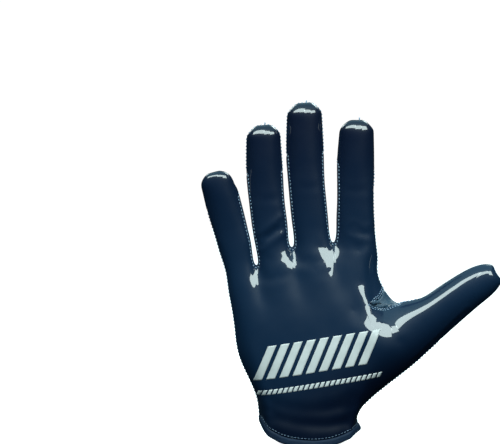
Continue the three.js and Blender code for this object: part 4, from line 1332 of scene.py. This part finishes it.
# plastisol lies a little thin over the leather's grain, so it is not one flat white
inkPlace = addNode(inkTree, "TexCoord").outputs["Object"]
inkNoise = addNode(inkTree, "TexNoise", {"Vector": inkPlace, "Scale": 1000 / 9, "Detail": 5,
                                         "Roughness": 0.6})
inkShade = mixed(inkTree, inkNoise.outputs["Fac"], linear("#959595"), linear("#b4b4b4"))
feed(inkTree, inkShader, {"Base Color": inkShade, "Roughness": 0.35, "IOR": 1.5})
addPiece("palm_print", inkStore[0], inkStore[1], ink, slot="palm_leather")
print("print:", len(inkStore[1]), "faces")


# floor, camera and light
lowest = solidBox[0][2]
floorPaint, floorTree, floorShader = newMaterial("matt white paint")
feed(floorTree, floorShader, {"Base Color": (0.9, 0.9, 0.9, 1), "Roughness": 1, "Specular IOR Level": 0,
                              "Emission Color": (1, 1, 1, 1), "Emission Strength": 0.9})
floorMesh = bpy.data.meshes.new("floor")
reach = 30
floorMesh.from_pydata([(-reach, -reach, lowest), (reach, -reach, lowest), (reach, reach, lowest),
                       (-reach, reach, lowest)], [], [(0, 1, 2, 3)])
floor = bpy.data.objects.new("floor", floorMesh)
scene.collection.objects.link(floor)
floorMesh.materials.append(floorPaint)
floor.visible_glossy = False
floor.visible_diffuse = False

photo = {"lens": 100, "sensor": 36, "width": 0.325, "centre": (-0.0377, 0.1365)}
cameraData = bpy.data.cameras.new("camera")
cameraData.lens = photo["lens"]
cameraData.sensor_width = photo["sensor"]
cameraData.clip_end = 200
camera = bpy.data.objects.new("camera", cameraData)
scene.collection.objects.link(camera)
distance = photo["width"] * photo["lens"] / photo["sensor"]
camera.location = (photo["centre"][0], -distance, photo["centre"][1])
camera.rotation_euler = (math.radians(90), 0, 0)
scene.camera = camera

# the studio is white to the eye; what lights the leather is dim below and brighter above
studio = {"seen": 1.05, "diffuseLow": 0.05, "diffuseHigh": 0.55, "glossLow": 0.005, "glossMiddle": 0.06,
          "glossHigh": 0.75, "tint": (0.48, 0.92, 1.04, 1)}
world = bpy.data.worlds.new("studio")
scene.world = world
world.use_nodes = True
sky = world.node_tree
background = sky.nodes["Background"]
direction = addNode(sky, "SeparateXYZ", {0: addNode(sky, "TexCoord").outputs["Generated"]})
path = addNode(sky, "LightPath")
upward = direction.outputs["Z"]
diffuse = ranged(sky, upward, (-0.5, 0.8), (studio["diffuseLow"], studio["diffuseHigh"]))
haze = ranged(sky, upward, (-0.3, 0.5), (studio["glossLow"], studio["glossMiddle"]))
ceiling = ranged(sky, upward, (0.66, 0.74), (0, studio["glossHigh"]))
gloss = addNode(sky, "Math", {0: haze, 1: ceiling}, operation="ADD")
lit = addNode(sky, "Mix", {"Factor": path.outputs["Is Glossy Ray"], "A": diffuse, "B": gloss.outputs[0]},
              data_type="FLOAT")
level = addNode(sky, "Mix", {"Factor": path.outputs["Is Camera Ray"], "A": lit.outputs["Result"],
                             "B": studio["seen"]}, data_type="FLOAT")
tint = mixed(sky, path.outputs["Is Camera Ray"], studio["tint"], (1, 1, 1, 1))
feed(sky, background, {"Strength": level.outputs["Result"], "Color": tint})

# softboxes: azimuth and elevation of the middle seen from the glove, width, height and roll in degrees,
# radiance; azimuth 0 is where the palm faces, and 90 is the thumb's side
aimAt = Vector((0.02, 0, 0.1))
softboxAway = 1.4
softboxColour = (0.83, 1.0, 0.98)
softboxes = {
    "high left": (-33.5, 43, 61, 16, 8, 14),
    "high middle": (10.5, 37, 27, 17, 0, 14),
    "right": (39, 31, 30, 22, 0, 14),
    "back high": (148, 44, 30, 11, 0, 13),
    "back low": (-150, 34, 18, 12, 0, 6),
}
for name, (azimuth, elevation, wide, tall, roll, radiance) in softboxes.items():
    lamp = bpy.data.lights.new(name, "AREA")
    lamp.shape = "RECTANGLE"
    a, e = math.radians(azimuth), math.radians(elevation)
    lamp.size = 2 * softboxAway * math.tan(math.radians(wide / 2)) * math.cos(e)
    lamp.size_y = 2 * softboxAway * math.tan(math.radians(tall / 2))
    lamp.energy = radiance * lamp.size * lamp.size_y * math.pi
    lamp.color = softboxColour
    holder = bpy.data.objects.new(name, lamp)
    scene.collection.objects.link(holder)
    holder.location = aimAt + softboxAway * Vector((math.sin(a) * math.cos(e), -math.cos(a) * math.cos(e),
                                                    math.sin(e)))
    holder.rotation_euler = (aimAt - holder.location).to_track_quat("-Z", "Y").to_euler()
    holder.rotation_euler.rotate_axis("Z", math.radians(roll))
    holder.visible_camera = False
print("stage ready")
